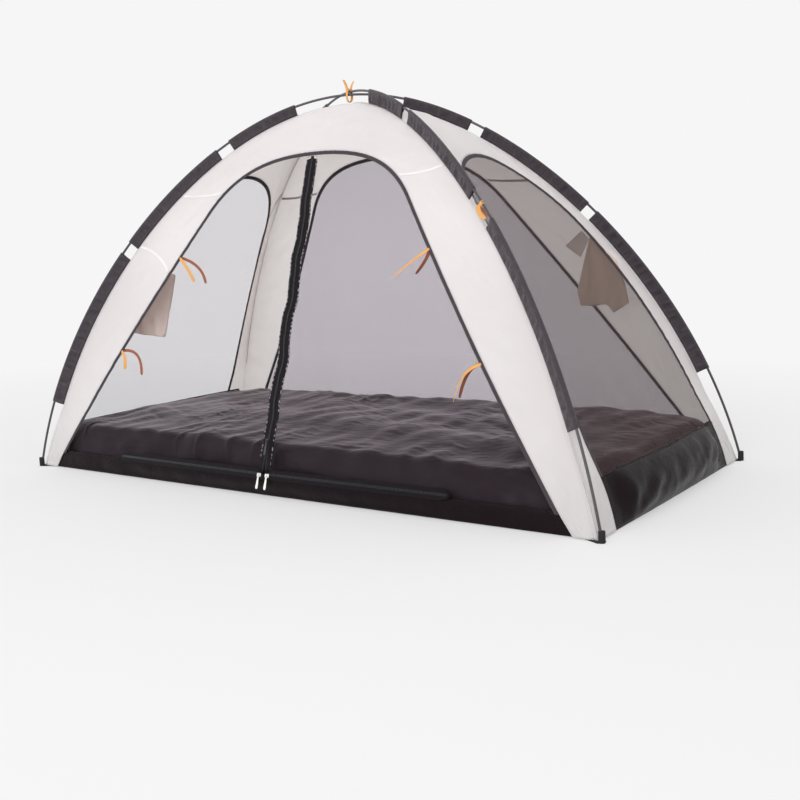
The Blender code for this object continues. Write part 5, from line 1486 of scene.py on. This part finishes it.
def copy_of(node, name, finish, bevel, body="tent"):
    """A merged copy of a node with its edges softened."""
    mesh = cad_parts[node].data.copy()
    mesh.materials.clear()
    cleaned(mesh, dissolve=True)
    item = piece(name, mesh, [finish], body, [node])
    soft = item.modifiers.new("edges", "BEVEL")
    soft.width = bevel
    soft.segments = 3
    soft.limit_method = "ANGLE"
    soft.angle_limit = math.radians(35)
    mesh.shade_smooth()
    mesh.set_sharp_from_angle(angle=math.radians(50))


def sliders():
    """The dark slider on the upright zip, and two bright ones on the sill, each with its pull."""
    for place, side, finish, slot in (("door", "", BLACK_METAL, "black_metal"),
                                      ("sill", "_left", BRIGHT_METAL, "bright_metal"),
                                      ("sill", "_right", BRIGHT_METAL, "bright_metal")):
        for part, bevel in (("slider", 0.00025), ("pull", 0.0003)):
            node = place + "_" + part + side
            copy_of(node, place + "_" + part + "_metal" + side, finish, bevel, node + "_body")


def feet():
    """Webbing cups on tabs at the corners, which hold the ends of the poles."""
    for corner in ("front_right", "back_right", "back_left", "front_left"):
        copy_of("foot_pocket_" + corner, "foot_cup_" + corner, WEBBING, 0.0006)


def ribbon(name, path, across, width, finish, nodes=(), cup=0.0012):
    """A flat ribbon along a path, cupped a little along its middle."""
    path, across = np.array(path), np.array(across)
    marks = lengths(path)
    wanted = np.linspace(0, marks[-1], RIBBON_STEPS)
    smooth = along(path, wanted)
    for _ in range(10):
        smooth[1:-1] = (smooth[:-2] + 2 * smooth[1:-1] + smooth[2:]) / 4
    sides = np.stack([np.interp(wanted, marks, column) for column in across.T], axis=1)
    flow = unit(np.gradient(smooth, axis=0))
    sides = unit(sides - flow * np.sum(sides * flow, axis=1, keepdims=True))
    face = np.cross(flow, sides)
    taper = np.minimum(1, 0.7 + 0.3 * np.minimum(wanted, marks[-1] - wanted) / RIBBON_TAPER)[:, None]
    shares = np.array((-0.5, -0.25, 0, 0.25, 0.5))[:, None, None]
    points = smooth + (sides * shares * width + face * cup * (1 - (2 * shares) ** 2)) * taper
    thick(piece(name, grid_mesh(name, points), [finish], nodes=nodes), RIBBON_THICKNESS)


def edge_spot(wall, side, height):
    """Point on the middle of a wall's binding, on its left leg (side -1) or its right one (side 1)."""
    edge = wall.arch(0.0)
    half = edge[:(len(edge) + 1) // 2]
    column = int(np.searchsorted(half[:, 1], height)) - 1
    share = (height - half[column][1]) / (half[column + 1][1] - half[column][1])
    first, second = wall.place(half[column:column + 2] * (-side, 1))
    return mixed(first, second, share)


def door_ribbons():
    """Ribbons that tie a rolled flap to the binding, an orange one outside and one inside the net, the one
    inside darker as painted shade.
    """
    t = np.linspace(0, 1, 17)[:, None]
    for label, (side, height, outer, inner) in RIBBON_PLACES.items():
        start = edge_spot(FRONT, side, height)
        # The inside ribbon takes the darker copy: painted shade
        for face, step, stops, finish, slot in (("outer", 1, outer, RIBBON, "orange_ribbon"),
                                                ("inner", -1, inner, RIBBON_PAINTED_SHADE, "orange_ribbon_inner")):
            first, middle, last = (FRONT.place(np.array((start[0] + x, start[2] + z)), lift)
                                   for x, z, lift in ((0.0, 0.0, step * RIBBON_LIFT), *stops))
            pull = 2 * middle - (first + last) / 2
            path = first * (1 - t) ** 2 + 2 * t * (1 - t) * pull + last * t ** 2
            flow = unit(np.gradient(path, axis=0))
            across = np.cross(flow, (0.0, -1.0, 0.0))
            twist = (0.35 + 0.9 * t) * math.sin(len(label) * 1.7 + step)
            sides = across * np.cos(twist) + np.cross(flow, across) * np.sin(twist)
            name = "_".join(("tie", label, face))
            ribbon(name + "_ribbon", path, sides, RIBBON_WIDTH * 0.85, finish, [name], cup=0.0008)


def crown_tie():
    """Ribbon from the canopy's top up round the crossing of the poles, knotted, with two tails."""
    low = APEX_HEIGHT + RIBBON_LIFT
    top = CROWN_HEIGHT + POLE_RADIUS + CROWN_TIE_LIFT
    spread = CROWN_TIE_SPREAD
    half = ((spread / 2, low), (spread, low + spread / 2), (spread, top - 0.008), (spread * 0.55, top),
            (spread * 0.55, top + 0.008), (spread + CROWN_TIE_TAIL[0], top + CROWN_TIE_TAIL[1]))
    line = [(0.0, -y, z) for y, z in half[::-1]] + [(0.0, y, z) for y, z in half]
    sides = [(1.0, 0.25 * math.sin(i), 0.0) for i in range(len(line))]
    ribbon("crown_tie_ribbon", line, sides, RIBBON_WIDTH * 0.8, RIBBON, ["crown_tie"])
    angles = np.linspace(0, 2 * math.pi, 17)
    loop = np.stack((CROWN_KNOT_RADIUS * np.cos(angles), 0.7 * (spread + 0.002) * np.sin(angles),
                     top + 0.002 - 0.0015 * np.cos(2 * angles)), axis=1)
    ribbon("crown_tie_knot", loop, [(0.2, 0.0, 1.0)] * len(loop), RIBBON_WIDTH * 0.6, RIBBON)


def pole_tie():
    """Short ribbon tied round the front right pole, in the gap between two of its sleeves."""
    axis = pole_axis(-1, CROWN_HEIGHT)
    front = axis[:len(axis) // 2]
    reaches = np.hypot(front[:, 0], front[:, 1])
    index = int(np.argmin(np.abs(reaches - DIAGONAL * POLE_TIE_SHARE)))
    spot = front[index]
    down = unit(front[index - 1] - front[index + 1])
    side = np.array((ALONG_Y, ALONG_X, 0.0))
    inward = unit(np.cross(down, side))
    inward = inward if inward[2] < 0 else -inward
    around = POLE_RADIUS + POLE_TIE_LIFT
    angles = np.linspace(0, math.pi, 9)[:, None]
    loop = np.concatenate(([spot + inward * POLE_TIE_REACH - side * around * 1.1],
                           spot - (inward * np.sin(angles) + side * np.cos(angles)) * around,
                           [spot + inward * POLE_TIE_REACH + side * around * 1.1]))
    ribbon("pole_tie_ribbon", loop, [down] * len(loop), RIBBON_WIDTH, RIBBON, ["pole_tie"], cup=0.0006)
    across = np.cross(down, unit(np.array((0.5, -0.85, 0.1))))
    step = np.linspace(0, 1, 9)[:, None]
    # The inner tail takes the darker copy of the ribbon: painted shade
    for (name, turn, reach, length), finish in zip(POLE_TAILS, (RIBBON, RIBBON_PAINTED_SHADE)):
        swing = (inward * 0.003 + side * turn * 0.006) * np.sin(math.pi * step * 0.9)
        tail = spot + inward * reach + side * around * turn * 1.2 + down * (step * length - 0.006) + swing
        ribbon("pole_tie_tail_" + name, tail, [across] * len(tail), RIBBON_WIDTH * 1.1, finish, cup=0.0006)


def traced(corners, share):
    """Points at shares of the way along a line of corners."""
    corners = np.array(corners, dtype=float)
    return along(corners, share * lengths(corners)[-1])


def filled(near, far, foot, s, t):
    """A flat grid between two edges and a foot, with a straight top."""
    across, down = s[None, :, None], t[:, None, None]
    left, right, bottom = traced(near, t)[:, None], traced(far, t)[:, None], traced(foot, s)[None]
    top = mixed(np.array(near[0]), np.array(far[0]), s[:, None])[None]
    high, low = (mixed(line[:, :1], line[:, -1:], across) for line in (top, bottom))
    return mixed(top, bottom, down) + mixed(left, right, across) - mixed(high, low, down)


def pockets():
    """Cloth pockets that hang inside the end windows, with a pale flap folded over the top."""
    s, t = np.linspace(0, 1, POCKET_COLUMNS), np.linspace(0, 1, POCKET_ROWS)
    belly = np.sin(math.pi * s[None, :]) ** 0.7 * np.sin(math.pi * t[:, None] ** 1.3) ** 0.7
    a = np.linspace(0, 1, POCKET_FLAP_STEPS)[None, :, None]
    b = a.transpose(1, 0, 2)
    bow = POCKET_FLAP_BOW * np.sin(math.pi * a) * np.sin(math.pi * b)
    fall = np.array((0.0, 0.0, -1.0))
    # The left pocket takes the paler copy of the cloth: painted light
    for wall, finish in ((RIGHT, POCKET), (LEFT, POCKET_PAINTED_LIGHT)):
        height, near, far, foot, fold = POCKETS[wall.name]
        first = edge_spot(wall, 1, height)
        run = (edge_spot(wall, 1, height - POCKET_TOP_DROP) - first) * (1, 1, 0) / POCKET_TOP_WIDTH
        inside = unit(np.array((run[1], -run[0], 0.0)))
        inside = inside if inside[1] > 0 else -inside
        start = first + inside * POCKET_STANDOFF
        flat = filled(near, far, foot, s, t)
        u, v = flat[..., 0], flat[..., 1]
        folds = t[:, None] * wrinkles(u, v, POCKET_FOLDS, len(wall.name)) - POCKET_WRAP * np.maximum(-u, 0)
        points = start + run * u[..., None] + fall * v[..., None]
        front = points + inside * (folds + POCKET_FRONT_BELLY * belly + POCKET_BODY)[..., None]
        back = points + inside * (folds - POCKET_BACK_BELLY * belly)[..., None]
        ring = wall.world(np.concatenate((front, back[::-1])))
        name = "pocket_cloth_" + wall.name
        item = piece(name, grid_mesh(name, ring, around=True), [finish], nodes=["pocket_" + wall.name])
        thick(item, POCKET_THICKNESS)
        corners = [start - inside * POCKET_FLAP_INSET + run * x + fall * y for x, y in fold]
        points = mixed(mixed(corners[0], corners[1], a), mixed(corners[3], corners[2], a), b)
        points = wall.world(points + inside * bow)
        cloth("pocket_flap_" + wall.name, points, FLAP_CLOTH, POCKET_FLAP_THICKNESS)


def floor():
    """Pale floor that fades into the background."""
    bpy.ops.object.select_all(action="DESELECT")
    bpy.ops.mesh.primitive_plane_add(size=FLOOR_SIZE, location=(0.0, 0.0, -FLOOR_DROP))
    item = bpy.context.object
    item.name = "floor"
    made = Finish("floor", FLOOR_COLOR, 0.9)
    places = made.coordinates("Object", FLOOR_STRETCH)
    far = made.node("ShaderNodeVectorMath", {0: places}, operation="LENGTH").outputs["Value"]
    share = made.span(far, *FLOOR_FADE, FLOOR_SHARE, 1.0)
    glow = made.node("ShaderNodeEmission", {"Color": PALE, "Strength": 1.0})
    made.surface("Material Output", made.math("MULTIPLY", made.seen(), share), made.shader, glow)
    item.data.materials.append(made.done((*FLOOR_COLOR, 1.0)))


def sky():
    """Soft light from all round, with a pale background in its place where it is seen."""
    world = bpy.data.worlds.new("studio")
    bpy.context.scene.world = world
    world.use_nodes = True
    made = Nodes(world.node_tree)
    light = made.tree.nodes["Background"]
    made.plug(light.inputs["Color"], SKY_COLOR)
    made.plug(light.inputs["Strength"], SKY_STRENGTH)
    shown = made.node("ShaderNodeBackground", {"Color": PALE})
    made.surface("World Output", made.seen(), light, shown)


def lamps():
    """Soft boxes: a large one beside the camera, a weaker one at the left and one above."""
    for name, place, size, power in LAMPS:
        lamp = bpy.data.lights.new(name, "AREA")
        lamp.size = size
        lamp.energy = power
        item = bpy.data.objects.new(name, lamp)
        item.location = place
        item.rotation_euler = (LAMP_AIM - Vector(place)).to_track_quat("-Z", "Y").to_euler()
        bpy.context.scene.collection.objects.link(item)


def camera():
    """The camera at the photograph's angle."""
    lens = bpy.data.cameras.new("camera")
    lens.sensor_width = SENSOR_WIDTH
    lens.lens = SENSOR_WIDTH * FOCAL_LENGTH / PICTURE_SIZE
    lens.shift_x = (PICTURE_SIZE / 2 - PICTURE_CENTRE[0]) / PICTURE_SIZE
    lens.shift_y = (PICTURE_CENTRE[1] - PICTURE_SIZE / 2) / PICTURE_SIZE
    item = bpy.data.objects.new("camera", lens)
    turn = Matrix((CAMERA_RIGHT, -CAMERA_DOWN, -CAMERA_AHEAD)).transposed()
    item.matrix_world = turn.to_4x4()
    item.location = CAMERA_PLACE
    bpy.context.scene.collection.objects.link(item)
    bpy.context.scene.camera = item


camera()
canopy()
bindings()
fixed_nets()
door_nets()
side_nets()
zips()
poles()
sleeves()
base_cover()
skirt()
sliders()
feet()
door_ribbons()
crown_tie()
pole_tie()
pockets()
lamps()
floor()
sky()
bpy.context.scene.view_settings.view_transform = "Standard"
bpy.context.view_layer.update()
